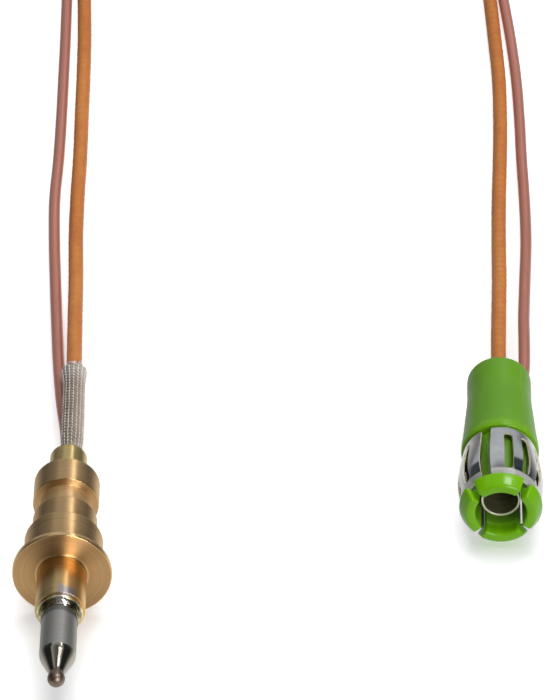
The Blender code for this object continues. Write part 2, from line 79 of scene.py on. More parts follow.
# ------------------------------------------------------------------- materials
class Look:
    """A procedural material, with short names for the nodes it is made of."""

    def __init__(self, name, colour, rough, metal=0.0, **sockets):
        self.m = bpy.data.materials.new(name)
        self.m.use_nodes = True
        self.t = self.m.node_tree
        self.b = self.t.nodes["Principled BSDF"]
        self.m.diffuse_color = (*colour, 1.0)
        self.put("Base Color", (*colour, 1.0))
        self.put("Roughness", rough)
        self.put("Metallic", metal)
        for k, v in sockets.items():
            self.put(k.replace("_", " "), v)

    def put(self, socket, value, node=None):
        s = (node or self.b).inputs[socket]
        if isinstance(value, bpy.types.NodeSocket):
            self.t.links.new(value, s)
        else:
            s.default_value = value

    def node(self, kind, **props):
        n = self.t.nodes.new("ShaderNode" + kind)
        for k, v in props.items():
            setattr(n, k, v)
        return n

    def where(self):
        return self.node("TexCoord").outputs["Object"]

    def split(self, v):
        n = self.node("SeparateXYZ")
        self.put(0, v, n)
        return n.outputs

    def math(self, op, a, b=None, c=None):
        n = self.node("Math", operation=op)
        for i, v in enumerate((a, b, c)):
            if v is not None:
                self.put(i, v, n)
        return n.outputs[0]

    def noise(self, v=None, scale=1.0, detail=2.0, rough=0.5, w=None):
        n = self.node("TexNoise", noise_dimensions="3D" if w is None else "1D")
        if w is None:
            self.put("Vector", v, n)
        else:
            self.put("W", w, n)
        self.put("Scale", scale, n)
        self.put("Detail", detail, n)
        self.put("Roughness", rough, n)
        return n.outputs["Fac"]

    def ramp(self, fac, stops, kind="LINEAR"):
        n = self.node("ValToRGB")
        n.color_ramp.interpolation = kind
        while len(n.color_ramp.elements) < len(stops):
            n.color_ramp.elements.new(0.5)
        for e, (p, c) in zip(n.color_ramp.elements, stops):
            e.position = p
            e.color = (*c, 1.0) if len(c) == 3 else c
        self.put("Fac", fac, n)
        return n.outputs["Color"]

    def span(self, v, a, b, c=0.0, d=1.0, smooth=False):
        n = self.node("MapRange", interpolation_type="SMOOTHSTEP" if smooth else "LINEAR", clamp=True)
        for k, x in zip(("Value", "From Min", "From Max", "To Min", "To Max"), (v, a, b, c, d)):
            self.put(k, x, n)
        return n.outputs["Result"]

    def mix(self, fac, a, b, blend="MIX"):
        n = self.node("Mix", data_type="RGBA", blend_type=blend)
        self.put("Factor", fac, n)
        for i, v in ((6, a), (7, b)):
            if isinstance(v, bpy.types.NodeSocket):
                self.t.links.new(v, n.inputs[i])
            else:
                n.inputs[i].default_value = (*v, 1.0)
        return n.outputs[2]

    def stretch(self, v, x, y, z):
        n = self.node("Mapping")
        self.put("Vector", v, n)
        n.inputs["Scale"].default_value = (x, y, z)
        return n.outputs["Vector"]

    def bump(self, height, strength, distance, under=None):
        n = self.node("Bump")
        self.put("Height", height, n)
        self.put("Strength", strength, n)
        self.put("Distance", distance * MM, n)
        if under is not None:
            self.put("Normal", under, n)
        self.put("Normal", n.outputs["Normal"])
        return n.outputs["Normal"]

    def round_the_axis(self, anisotropy):
        """Brushed round the piece's own Z axis, as a lathe leaves it."""
        n = self.node("Tangent", direction_type="RADIAL", axis="Z")
        self.put("Tangent", n.outputs["Tangent"])
        self.put("Anisotropic", anisotropy)
        self.put("Anisotropic Rotation", 0.25)


def turned_metal(name, dark, light, rough, anisotropy, lines=0.35, patch=0.5):
    """Machined metal: lathe lines along the outline, cloudy tone, fine scratches."""
    k = Look(name, light, rough, 1.0)
    at = k.where()
    x, y, z = k.split(at)
    r = k.math("SQRT", k.math("ADD", k.math("MULTIPLY", x, x), k.math("MULTIPLY", y, y)))
    along = k.math("ADD", r, z)
    fine = k.noise(w=along, scale=9000.0, detail=2.0, rough=0.7)
    wide = k.noise(w=along, scale=1700.0, detail=2.0, rough=0.6)
    cloud = k.noise(at, scale=420.0, detail=4.0, rough=0.6)
    tone = k.math("ADD", k.math("MULTIPLY", cloud, patch), k.math("MULTIPLY", wide, 1.0 - patch))
    k.put("Base Color", k.mix(k.span(tone, 0.32, 0.68), dark, light))
    k.put("Roughness", k.span(k.math("ADD", k.math("MULTIPLY", fine, 0.6), k.math("MULTIPLY", cloud, 0.4)),
                              0.25, 0.75, rough - 0.06, rough + 0.09))
    first = k.bump(wide, lines, 0.010)
    k.bump(fine, lines, 0.004, first)
    k.round_the_axis(anisotropy)
    return k


bush_look = turned_metal("turned_brass", (0.595, 0.385, 0.177), (0.68, 0.45, 0.22), 0.34, 0.88, 0.09)
# The ring's front face: burnished, and coloured lighter than the other brass as painted light.
ring_face_painted_light_look = turned_metal("burnished_brass_face_painted_light", (0.66, 0.44, 0.21), (0.76, 0.53, 0.27), 0.42, 0.93, 0.04)
rim_look = turned_metal("polished_brass", (0.66, 0.425, 0.185), (0.76, 0.51, 0.245), 0.22, 0.40, 0.02)
neck_look = turned_metal("turned_brass_neck", (0.595, 0.385, 0.177), (0.68, 0.45, 0.22), 0.36, 0.85, 0.09)
neck_look.put("Metallic", 0.64)
face_look = turned_metal("turned_brass_face", (0.57, 0.352, 0.154), (0.68, 0.430, 0.207), 0.46, 0.93, 0.06)

tube_look = turned_metal("brass_tube", (0.60, 0.445, 0.175), (0.70, 0.53, 0.225), 0.30, 0.75, 0.06)

# Sleeve: the same brass, discoloured by the heat of the brazing towards its front; the orange is laid on its right-hand
# side only, as a painted highlight.
k = turned_metal("heat_tinted_brass_painted_highlight", (0.56, 0.390, 0.163), (0.67, 0.475, 0.210), 0.17, 0.35, 0.08)
sleeve_look = k
at = k.where()
x, y, z = k.split(at)
plain = k.b.inputs["Base Color"].links[0].from_socket
stain = k.noise(at, scale=620.0, detail=3.0, rough=0.55)
edge = k.math("ADD", k.math("MULTIPLY", z, 1000.0), k.math("MULTIPLY", stain, 2.4))
# Painted highlight: the orange heat tint is kept to the right-hand side of the sleeve.
right_side_highlight = k.span(x, -0.0006, 0.0016, 0.0, 0.9, True)
heat_tint_and_painted_highlight = k.mix(k.math("MULTIPLY", right_side_highlight, k.span(edge, 1.2, 2.6, 0.0, 1.0, True)), plain, (0.86, 0.50, 0.17))
aside = k.math("ABSOLUTE", k.math("SUBTRACT", x, 0.0007))
near_top = k.math("MULTIPLY", k.span(aside, 0.0005, 0.0014, 1.0, 0.0, True), k.span(y, 0.0, 0.0005, 0.0, 1.0, True))
grey_tint = k.mix(k.math("MULTIPLY", near_top, k.span(edge, 5.9, 6.9, 0.0, 0.9, True)), heat_tint_and_painted_highlight, (0.42, 0.38, 0.40))
k.put("Base Color", grey_tint)
k.put("Roughness", k.span(edge, 1.5, 6.0, 0.24, 0.34, True))

# Braze: bright and wrinkled, with a painted highlight on its top and painted shade darkening its concave fillet against
# the sheath.
k = Look("braze_alloy", (0.72, 0.66, 0.42), 0.18, 1.0)
braze_look = k
at = k.where()
x, y, z = k.split(at)
lump = k.noise(at, scale=1300.0, detail=4.0, rough=0.6)
r = k.math("SQRT", k.math("ADD", k.math("MULTIPLY", x, x), k.math("MULTIPLY", y, y)))
gold = k.ramp(lump, [(0.34, (0.50, 0.43, 0.18)), (0.50, (0.78, 0.71, 0.40)), (0.66, (0.92, 0.88, 0.66))])
# Painted shade: the concave fillet next to the sheath is coloured dark.
fillet_painted_shade = k.ramp(lump, [(0.38, (0.12, 0.098, 0.038)), (0.53, (0.32, 0.27, 0.12)), (0.66, (0.70, 0.64, 0.38))])
both = k.mix(k.span(r, 0.00234, 0.00244, 0.0, 1.0, True), fillet_painted_shade, gold)
# Painted highlight: a silver-white patch on the top of the braze, a little right of centre.
crest_painted_highlight = k.math("MULTIPLY", k.span(k.math("ABSOLUTE", k.math("SUBTRACT", x, 0.0003)), 0.0004, 0.0010, 1.0, 0.0, True), k.span(y, 0.0, 0.0008, 0.0, 1.0, True))
k.put("Base Color", k.mix(k.math("MULTIPLY", crest_painted_highlight, k.span(lump, 0.40, 0.52, 0.25, 1.0)), both, (0.88, 0.85, 0.80)))
k.put("Roughness", k.span(lump, 0.35, 0.65, 0.26, 0.13))
k.bump(k.noise(at, scale=1900.0, detail=2.0, rough=0.5), 0.22, 0.03)

# Sheath: satin nickel-chrome, ground round its axis, darker beside the braze.
k = turned_metal("nickel_chrome_sheath", (0.375, 0.365, 0.335), (0.425, 0.415, 0.385), 0.47, 0.0, 0.03)
sheath_look = k
at = k.where()
x, y, z = k.split(at)
plain = k.b.inputs["Base Color"].links[0].from_socket
mark = k.noise(k.stretch(at, 1, 1, 0.35), scale=900.0, detail=3.0, rough=0.6)
# A darker band right beside the braze.
dark_band_by_braze = k.span(k.math("ADD", k.math("MULTIPLY", z, 1000.0), k.math("MULTIPLY", mark, 0.35)), 8.55, 9.05, 0.75, 0.0, True)
streak = k.noise(k.stretch(at, 1, 1, 0.05), scale=1400.0, detail=2.0, rough=0.5)
k.put("Base Color", k.mix(dark_band_by_braze, k.mix(k.span(streak, 0.55, 0.72, 0.0, 0.35), plain, (0.40, 0.36, 0.35)), (0.13, 0.128, 0.125)))

# Cone and its neck: polished and heat-bronzed.
k = Look("bronzed_cone", (0.30, 0.26, 0.215), 0.13, 1.0)
cone_look = k
at = k.where()
tint = k.noise(at, scale=700.0, detail=3.0, rough=0.55)
k.put("Base Color", k.ramp(tint, [(0.32, (0.36, 0.335, 0.290)), (0.52, (0.41, 0.375, 0.315)), (0.70, (0.46, 0.40, 0.325))]))
k.put("Roughness", k.span(k.noise(at, scale=1900.0, detail=2.0), 0.3, 0.7, 0.10, 0.15))
k.round_the_axis(0.20)

k = Look("weld_bead", (0.22, 0.175, 0.15), 0.32, 1.0)
bead_look = k
at = k.where()
skin = k.noise(at, scale=1500.0, detail=4.0, rough=0.6)
k.put("Base Color", k.ramp(skin, [(0.34, (0.20, 0.148, 0.118)), (0.52, (0.285, 0.212, 0.170)), (0.66, (0.36, 0.26, 0.205)), (0.78, (0.27, 0.16, 0.125))]))
k.put("Roughness", k.span(skin, 0.3, 0.7, 0.36, 0.46))
k.bump(skin, 0.12, 0.03)

# Green plastic: semi-gloss moulding with a faint skin; the claws' green is painted brighter than the barrel's, as
# painted light.
def moulded(name, deep, lighter_tone, rough, shine):
    k = Look(name, lighter_tone, rough, 0.0, IOR=1.50, Specular_IOR_Level=shine)
    at = k.where()
    flow = k.noise(k.stretch(at, 1, 1, 0.45), scale=260.0, detail=3.0, rough=0.5)
    k.put("Base Color", k.mix(k.span(flow, 0.3, 0.7), deep, lighter_tone))
    skin = k.noise(at, scale=2600.0, detail=3.0, rough=0.6)
    k.put("Roughness", k.span(skin, 0.3, 0.7, rough - 0.04, rough + 0.06))
    k.bump(skin, 0.10, 0.010)
    k.put("Subsurface Weight", 0.12)
    k.put("Subsurface Radius", (0.6, 1.0, 0.15))
    k.put("Subsurface Scale", 0.0007)
    return k


barrel_look = moulded("green_moulding", (0.116, 0.305, 0.006), (0.134, 0.342, 0.009), 0.34, 0.24)
claw_painted_lighter_look = moulded("green_claw", (0.155, 0.425, 0.002), (0.180, 0.472, 0.004), 0.17, 0.29)
# The barrel's lip is thin and is painted a brighter green: painted light standing in for light shining through its
# edge.
k = barrel_look
plain = k.b.inputs["Base Color"].links[0].from_socket
x, y, z = k.split(k.where())
k.put("Base Color", k.mix(k.span(z, -0.0009, 0.0001, 0.0, 1.0, True), plain, (0.152, 0.378, 0.008)))
skin_gloss = k.b.inputs["Roughness"].links[0].from_socket
k.put("Roughness", k.math("SUBTRACT", skin_gloss, k.span(z, -0.0001, 0.0003, 0.0, 0.20, True)))
# The claws' fingers, inside the cage, are painted darker than their hooks: painted shade under the cage.
k = claw_painted_lighter_look
lighter_tone = k.b.inputs["Base Color"].links[0].from_socket
x, y, z = k.split(k.where())
k.put("Base Color", k.mix(k.span(z, 0.0094, 0.0101, 0.0, 1.0, True), (0.140, 0.315, 0.024), lighter_tone))

# Cage: nickel-plated spring sheet with copper-coloured cut edges.
k = Look("nickel_sheet", (0.60, 0.61, 0.60), 0.11, 1.0)
cage_look = k
at = k.where()
roll = k.noise(k.stretch(at, 1, 1, 0.08), scale=3000.0, detail=2.0, rough=0.6)
wear = k.noise(at, scale=520.0, detail=3.0, rough=0.6)
k.put("Base Color", k.mix(k.span(wear, 0.35, 0.7), (0.57, 0.58, 0.57), (0.68, 0.685, 0.665)))
k.put("Roughness", k.span(roll, 0.3, 0.7, 0.06, 0.11))
k.bump(roll, 0.12, 0.006)
# Its front hem is painted pale and made less metallic: a painted reflection.
x, y, z = k.split(at)
sheet = k.b.inputs["Base Color"].links[0].from_socket
hem_painted_reflection = k.span(z, 0.00890, 0.00915, 0.0, 1.0, True)
k.put("Base Color", k.mix(hem_painted_reflection, sheet, (0.66, 0.66, 0.635)))
k.put("Metallic", k.span(hem_painted_reflection, 0.0, 1.0, 1.0, 0.45))

# Painted shade: the cage's inner face is coloured much darker than its outside.
inside_painted_shade_look = Look("nickel_sheet_inside_painted_shade", (0.20, 0.20, 0.19), 0.50, 0.6)
k = inside_painted_shade_look
dull = k.noise(k.where(), scale=900.0, detail=3.0, rough=0.6)
k.put("Base Color", k.mix(k.span(dull, 0.35, 0.65), (0.13, 0.13, 0.12), (0.21, 0.20, 0.19)))

k = Look("cut_edge", (0.82, 0.70, 0.56), 0.40, 0.35)
edge_look = k
at = k.where()
bite = k.noise(at, scale=2400.0, detail=3.0, rough=0.6)
k.put("Base Color", k.ramp(bite, [(0.30, (0.66, 0.48, 0.34)), (0.44, (0.86, 0.76, 0.62)), (0.62, (0.93, 0.90, 0.83))]))
k.bump(bite, 0.25, 0.02)

# Contact tube: silvered lip; the bore is coloured a dull dark olive, painted shade inside the hole.
contact_look = turned_metal("silvered_tube", (0.78, 0.73, 0.57), (0.91, 0.87, 0.72), 0.30, 0.20, 0.10)
contact_look.put("Metallic", 0.5)
k = turned_metal("olive_bore_painted_shade", (0.27, 0.27, 0.145), (0.37, 0.36, 0.21), 0.36, 0.30, 0.30)
k.put("Metallic", 0.72)
bore_painted_shade_look = k

# Leads.
k = Look("amber_wrap", (0.56, 0.20, 0.04), 0.42, 0.0, IOR=1.46, Specular_IOR_Level=0.25)
amber_look = k
at = k.where()
cloud = k.noise(k.stretch(at, 1, 0.5, 1), scale=900.0, detail=3.0, rough=0.6)
long_tone = k.noise(k.stretch(at, 0.6, 0.12, 0.6), scale=420.0, detail=2.0, rough=0.5)
tone = k.math("ADD", k.math("MULTIPLY", cloud, 0.55), k.math("MULTIPLY", long_tone, 0.45))
lap = k.node("Attribute", attribute_name="lap").outputs["Fac"]
body = k.ramp(tone, [(0.34, (0.49, 0.150, 0.028)), (0.50, (0.575, 0.195, 0.040)), (0.66, (0.63, 0.245, 0.056))])
k.put("Base Color", k.mix(k.math("MULTIPLY", lap, k.span(cloud, 0.38, 0.62, 0.05, 0.60)), body, (0.36, 0.115, 0.022)))
k.put("Roughness", k.span(cloud, 0.3, 0.7, 0.34, 0.50))
k.bump(k.noise(at, scale=3600.0, detail=3.0, rough=0.6), 0.22, 0.02)

k = Look("enamelled_copper", (0.57, 0.235, 0.17), 0.30, 0.45, IOR=1.5, Specular_IOR_Level=0.25)
copper_look = k
at = k.where()
draw = k.noise(k.stretch(at, 1, 0.02, 1), scale=1800.0, detail=1.0, rough=0.4)
cloud = k.noise(k.stretch(at, 1, 0.3, 1), scale=170.0, detail=2.0, rough=0.5)
k.put("Base Color", k.mix(k.span(k.math("ADD", k.math("MULTIPLY", draw, 0.5), k.math("MULTIPLY", cloud, 0.5)), 0.36, 0.64),
                          (0.500, 0.195, 0.140), (0.560, 0.230, 0.170)))
k.put("Roughness", k.span(draw, 0.3, 0.7, 0.29, 0.38))

def yarn(name, low, high, frayed):
    k = Look(name, high, 0.55, 0.0)
    at = k.where()
    x, y, z = k.split(at)
    fibre = k.noise(at, scale=3800.0, detail=3.0, rough=0.7)
    dirt = k.noise(at, scale=380.0, detail=3.0, rough=0.6)
    cloth = k.mix(k.span(k.math("ADD", k.math("MULTIPLY", fibre, 0.5), k.math("MULTIPLY", dirt, 0.5)), 0.36, 0.64), low, high)
    # Cleaner and whiter towards the frayed mouth.
    k.put("Base Color", k.mix(k.span(y, (Y0 + 22.5) * MM, (Y0 + 27.0) * MM, 0.0, 0.75, True), cloth, frayed))
    k.bump(fibre, 0.30, 0.015)
    k.put("Sheen Weight", 0.15)
    return k


# The laid yarn and the knit's inner face are darker copies of the same yarn: painted shade between the stitch chains.
yarn_look = yarn("glass_yarn", (0.50, 0.435, 0.375), (0.66, 0.60, 0.54), (0.80, 0.77, 0.74))
laid_yarn_shade_look = yarn("glass_yarn_laid_painted_shade", (0.30, 0.235, 0.185), (0.43, 0.350, 0.285), (0.58, 0.52, 0.475))
knit_inside_shade_look = yarn("glass_yarn_inside_painted_shade", (0.13, 0.075, 0.050), (0.20, 0.115, 0.075), (0.30, 0.24, 0.20))

k = Look("tie_strap", (0.78, 0.77, 0.74), 0.45, 0.0)
tie_look = k
at = k.where()
skin = k.noise(at, scale=2200.0, detail=3.0, rough=0.6)
k.put("Base Color", k.mix(k.span(skin, 0.3, 0.7), (0.70, 0.69, 0.66), (0.80, 0.79, 0.765)))
k.bump(skin, 0.15, 0.02)


def plain_look(name, dark, light, rough, metal, scale=900.0):
    k = Look(name, light, rough, metal)
    n = k.noise(k.where(), scale=scale, detail=3.0, rough=0.6)
    k.put("Base Color", k.mix(k.span(n, 0.3, 0.7), dark, light))
    k.put("Roughness", k.span(n, 0.3, 0.7, rough - 0.07, rough + 0.08))
    k.bump(n, 0.2, 0.02)
    return k


tinned_look = plain_look("tinned_copper", (0.52, 0.48, 0.42), (0.68, 0.64, 0.57), 0.32, 1.0)
core_look = plain_look("constantan_wire", (0.42, 0.37, 0.32), (0.55, 0.48, 0.42), 0.35, 1.0)
ceramic_look = plain_look("ceramic", (0.76, 0.73, 0.66), (0.86, 0.84, 0.78), 0.65, 0.0)
cement_look = plain_look("cement", (0.55, 0.50, 0.44), (0.68, 0.63, 0.57), 0.85, 0.0)
bare_copper_look = plain_look("bare_copper", (0.50, 0.24, 0.14), (0.66, 0.34, 0.21), 0.30, 1.0)

for name, look in (("core_wire", core_look), ("insulator_tube", ceramic_look), ("splice_crimp", tinned_look),
                   ("splice_insulation", ceramic_look), ("lead_seal", cement_look),
                   ("orange_lead_core_head", tinned_look), ("contact_crimp", tinned_look),
                   ("orange_lead_core_plug", tinned_look), ("ground_wire_end", bare_copper_look)):
    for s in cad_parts[name].material_slots:
        s.material = look.m


# ----------------------------------------------------------------- mesh helpers
def piece(name, verts, faces, looks, picks=None, place=None, sharp=38.0, body=ROOT, node=None, slot=None):
    """One finished mesh, riding on its body and standing for its node."""
    me = bpy.data.meshes.new(name)
    me.from_pydata([tuple(v) for v in verts], [], faces)
    if picks is not None:
        me.polygons.foreach_set("material_index", picks)
    bm = bmesh.new()
    bm.from_mesh(me)
    bmesh.ops.recalc_face_normals(bm, faces=bm.faces)
    bm.to_mesh(me)
    bm.free()
    me.shade_smooth()
    if sharp is not None:
        me.set_sharp_from_angle(angle=math.radians(sharp))
    for look in looks:
        me.materials.append(look.m)
    ob = bpy.data.objects.new(name, me)
    bpy.context.scene.collection.objects.link(ob)
    if place is not None:
        ob.matrix_world = place
    if body:
        settle(ob, body, node)
    return ob


def settle(ob, body, node=None):
    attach(ob, body)
    if node:
        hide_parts(*([node] if isinstance(node, str) else node))


def soften(outline, radius, steps=4):
    """Round the corners of a closed outline of (r, z) points."""
    out = []
    n = len(outline)
    for i, p in enumerate(outline):
        rad = p[2] if len(p) > 2 else radius
        a, b = Vector(outline[i - 1][:2]), Vector(outline[(i + 1) % n][:2])
        p = Vector(p[:2])
        u, v = (a - p), (b - p)
        cut = min(rad, 0.45 * u.length, 0.45 * v.length)
        turn = u.angle(-v) if u.length > 1e-9 and v.length > 1e-9 else 0.0
        if turn < math.radians(4) or rad <= 0:
            out.append(tuple(p))
            continue
        q0, q1 = p + u.normalized() * cut, p + v.normalized() * cut
        for k in range(steps + 1):
            w = k / steps
            out.append(tuple((1 - w) ** 2 * q0 + 2 * w * (1 - w) * p + w * w * q1))
    return out


def lathe(name, outline, place, looks, seg=144, pick=None, closed=True, angles=None, swell=None, **kw):
    """An outline of (r, z) points spun round Z.  swell adds to a point's radius."""
    angles = angles or [2 * math.pi * k / seg for k in range(seg)]
    verts, rings = [], []
    for r, z in outline:
        if r < 1e-6:
            rings.append([len(verts)])
            verts.append((0, 0, z * MM))
            continue
        ring = []
        for a in angles:
            rr = (r + (swell(a, r, z) if swell else 0.0)) * MM
            ring.append(len(verts))
            verts.append((rr * math.cos(a), rr * math.sin(a), z * MM))
        rings.append(ring)
    faces, picks = [], []
    n, m = len(outline), len(angles)
    for i in range(n if closed else n - 1):
        p, q = rings[i], rings[(i + 1) % n]
        if len(p) == 1 and len(q) == 1:
            continue
        mid = [(outline[i][c] + outline[(i + 1) % n][c]) / 2 for c in (0, 1)]
        for k in range(m):
            j = (k + 1) % m
            if len(p) == 1:
                faces.append((p[0], q[j], q[k]))
            elif len(q) == 1:
                faces.append((p[k], p[j], q[0]))
            else:
                faces.append((p[k], p[j], q[j], q[k]))
            picks.append(pick(*mid) if pick else 0)
    return piece(name, verts, faces, looks, picks, place, **kw)


def smooth_route(points, step):
    pts = [Vector(p) for p in points]
    pts = [2 * pts[0] - pts[1]] + pts + [2 * pts[-1] - pts[-2]]
    fine = []
    for i in range(1, len(pts) - 2):
        p0, p1, p2, p3 = pts[i - 1:i + 3]
        t1 = (p1 - p0).length ** 0.5
        t2 = t1 + (p2 - p1).length ** 0.5
        t3 = t2 + (p3 - p2).length ** 0.5
        for k in range(24):
            t = t1 + (t2 - t1) * k / 24
            a1 = p0 * ((t1 - t) / t1) + p1 * (t / t1)
            a2 = p1 * ((t2 - t) / (t2 - t1)) + p2 * ((t - t1) / (t2 - t1))
            a3 = p2 * ((t3 - t) / (t3 - t2)) + p3 * ((t - t2) / (t3 - t2))
            b1 = a1 * ((t2 - t) / t2) + a2 * (t / t2)
            b2 = a2 * ((t3 - t) / (t3 - t1)) + a3 * ((t - t1) / (t3 - t1))
            fine.append(b1 * ((t2 - t) / (t2 - t1)) + b2 * ((t - t1) / (t2 - t1)))
    fine.append(pts[-2])
    return even(fine, step)


def even(fine, step):
    run = [0.0]
    for a, b in zip(fine, fine[1:]):
        run.append(run[-1] + (b - a).length)
    n = max(2, round(run[-1] / step) + 1)
    out, j = [], 0
    for i in range(n):
        want = run[-1] * i / (n - 1)
        while j < len(run) - 2 and run[j + 1] < want:
            j += 1
        w = (want - run[j]) / max(run[j + 1] - run[j], 1e-9)
        out.append(fine[j].lerp(fine[j + 1], min(max(w, 0.0), 1.0)))
    return out


def length_of(path):
    return sum((b - a).length for a, b in zip(path, path[1:]))


def steady_frames(path):
    """(direction, side, up) at each point, carried along the path without twist."""
    out, side = [], None
    for i, p in enumerate(path):
        d = (path[min(i + 1, len(path) - 1)] - path[max(i - 1, 0)]).normalized()
        if side is None:
            side = d.cross(Vector((0, 0, 1))).normalized()
        side = (side - d * side.dot(d)).normalized()
        out.append((d, side, side.cross(d)))
    return out


# ----------------------------------------------------------------------- leads
def head_point(x, y, t):
    return Vector((HEAD[0] + x, HEAD[1] - t, HEAD[2] + y))


def plug_point(x, y, s):
    return (plug_frame @ (Vector((x, y, s)) * MM)) / MM


PASS_REAR, PASS_FRONT = Vector((2.70, 0.0, BARREL_REAR)), Vector((3.20, 0.0, SPIGOT_FRONT))
PASS_STEP = -8.0
along_pass = (PASS_FRONT - PASS_REAR).normalized()


def in_passage(s):
    return plug_point(*(PASS_REAR + along_pass * ((s - BARREL_REAR) / along_pass.z)))


def coil_points(radius, z_low, first_deg, last_deg):
    sweep = first_deg - last_deg + 360 * COIL_EXTRA_TURNS
    n = round(sweep / 15)
    return [Vector((COIL_X + radius * math.cos(math.radians(first_deg - sweep * k / n)),
                    COIL_Y + radius * math.sin(math.radians(first_deg - sweep * k / n)),
                    z_low + COIL_PITCH * sweep * k / n / 360)) for k in range(n + 1)]


def tangent_angle(p, radius):
    dx, dy = COIL_X - p.x, COIL_Y - p.y
    reach = math.degrees(math.asin(radius / math.hypot(dx, dy)))
    toward = math.degrees(math.atan2(dy, dx))
    return toward + reach + 90 if dx > 0 else toward - reach - 90


def easy_bend(run, end, after):
    """Points of one long bend from the end of a run to where the coil begins."""
    start, reach = run[-1], (end - run[-1]).length / 3
    p1 = start + (start - run[-2]).normalized() * reach
    p2 = end - (after - end).normalized() * reach
    return [start * (1 - u) ** 3 + p1 * (3 * u * (1 - u) ** 2) + p2 * (3 * u * u * (1 - u)) + end * u ** 3
            for u in (0.2, 0.4, 0.6, 0.8)]


def lead_route(near_head, near_plug, radius, lead_r):
    a_in, a_out = tangent_angle(near_head[-1], radius), tangent_angle(near_plug[-1], radius)
    turns = coil_points(radius, COIL_BOTTOM + lead_r + 0.02, a_in, a_out)
    return (near_head + easy_bend(near_head, turns[0], turns[1]) + turns
            + easy_bend(near_plug, turns[-1], turns[-2])[::-1] + near_plug[::-1])


def floor_run(points, r):
    return [Vector((x, Y0 + y, z if z > 0 else r + 0.05)) for x, y, z in points]


ORANGE_AT, COPPER_AT = (0.32, 0.64), (-0.15, -1.20)   # places in the ferrule's mouth
orange_head = [head_point(*ORANGE_AT, t) for t in (-17.0, -19.2, FERRULE_REAR, -23.0)] + floor_run([
    (-24.02, 22.0, 5.25), (-24.28, 31.0, 4.15), (-24.55, 41.0, 2.85), (-24.80, 51.0, 1.75),
    (-25.13, 60.5, 1.08), (-25.24, 69.5, 0), (-25.20, 78.5, 0), (-25.29, 87.5, 0),
    (-25.37, 97.0, 0), (-25.53, 106.5, 0), (-25.86, 116.5, 0), (-26.05, 122.0, 0)], ORANGE_R)
copper_head = [head_point(*COPPER_AT, t) for t in (-16.2, -18.8, FERRULE_REAR)] + [head_point(-0.26, -1.27, -23.0)] + floor_run([
    (-24.75, 16.5, 3.86), (-25.42, 22.5, 3.38), (-26.12, 31.0, 2.55), (-26.73, 41.0, 1.80), (-27.29, 51.0, 1.15),
    (-27.77, 60.5, 0.78), (-28.05, 69.4, 0), (-27.89, 78.4, 0), (-27.87, 87.6, 0),
    (-27.93, 97.0, 0), (-28.01, 106.7, 0), (-28.16, 116.6, 0), (-28.25, 122.0, 0)], COPPER_R)
orange_plug = [plug_point(0, 0, s) for s in (-9.45, -11.5, BARREL_REAR, -15.5)] + floor_run([
    (25.50, 34.2, 4.40), (25.71, 39.0, 3.85), (26.16, 49.2, 2.60), (26.50, 59.5, 1.48),
    (26.87, 69.1, 0.97), (27.31, 78.1, 0), (27.67, 87.3, 0), (27.83, 96.7, 0),
    (27.64, 106.4, 0), (27.36, 116.3, 0), (27.15, 122.0, 0)], ORANGE_R)
copper_plug = [in_passage(s) for s in (PASS_STEP - 0.3, -9.8, -11.6, BARREL_REAR)] + [plug_point(2.93, 0, -15.9)] + floor_run([
    (28.52, 34.2, 4.40), (28.68, 39.0, 3.80), (29.25, 49.3, 2.48), (29.83, 59.7, 1.28),
    (30.03, 69.4, 0.78), (30.04, 78.4, 0), (30.13, 87.6, 0), (30.08, 97.0, 0),
    (29.73, 106.7, 0), (29.15, 116.6, 0), (28.84, 122.0, 0)], COPPER_R)

orange_path = [Vector((p.x, p.y, max(p.z, ORANGE_R + 0.02)))
               for p in smooth_route(lead_route(orange_head, orange_plug, COIL_ORANGE_R, ORANGE_R), 0.18)]
copper_path = [Vector((p.x, p.y, max(p.z, COPPER_R + 0.02)))
               for p in smooth_route(lead_route(copper_head, copper_plug, COIL_COPPER_R, COPPER_R), 0.7)]

# Orange lead: amber tape wound in overlapping turns, so the surface steps at each lap.
WRAP_PITCH, LAP_STEP, SIDES = 1.32, 0.030, 18
verts, faces, lap = [], [], []
run = 0.0
way = steady_frames(orange_path)
for i, (p, (d, side, up)) in enumerate(zip(orange_path, way)):
    if i:
        run += (p - orange_path[i - 1]).length
    for k in range(SIDES):
        a = 2 * math.pi * k / SIDES
        turn = run / WRAP_PITCH + a / (2 * math.pi) + 0.10 * noise.noise(Vector((run * 0.35, 3.1, 0.0)))
        f = turn % 1.0
        lift = LAP_STEP * (f - 0.55) if f < 0.86 else LAP_STEP * (0.31 - (f - 0.86) / 0.14 * 0.86)
        lump = 0.022 * noise.noise(Vector((run * 0.9, math.cos(a) * 0.8, math.sin(a) * 0.8 + 7.0)))
        lump += 0.016 * noise.noise(Vector((run * 3.1, math.cos(a) * 1.6, math.sin(a) * 1.6 + 3.0)))
        r = (ORANGE_R + 0.012 + lift + lump) * MM
        q = p * MM + side * (r * math.cos(a)) + up * (r * math.sin(a))
        verts.append(q)
        lap.append(max(0.0, 1.0 - abs((f if f > 0.5 else f + 1.0) - 0.97) / 0.12))
for i in range(len(orange_path) - 1):
    for k in range(SIDES):
        j = (k + 1) % SIDES
        faces.append((i * SIDES + k, i * SIDES + j, (i + 1) * SIDES + j, (i + 1) * SIDES + k))
faces.append(tuple(range(SIDES - 1, -1, -1)))
faces.append(tuple((len(orange_path) - 1) * SIDES + k for k in range(SIDES)))
orange = piece("orange_lead", verts, faces, [amber_look], sharp=None,
               node=("orange_lead_head_side", "orange_lead_plug_side", "lead_coil"), slot="amber_tape")
layer = orange.data.attributes.new("lap", "FLOAT", "POINT")
layer.data.foreach_set("value", lap)
[tuple(p * MM) for p in even(orange_path, 1.0)]

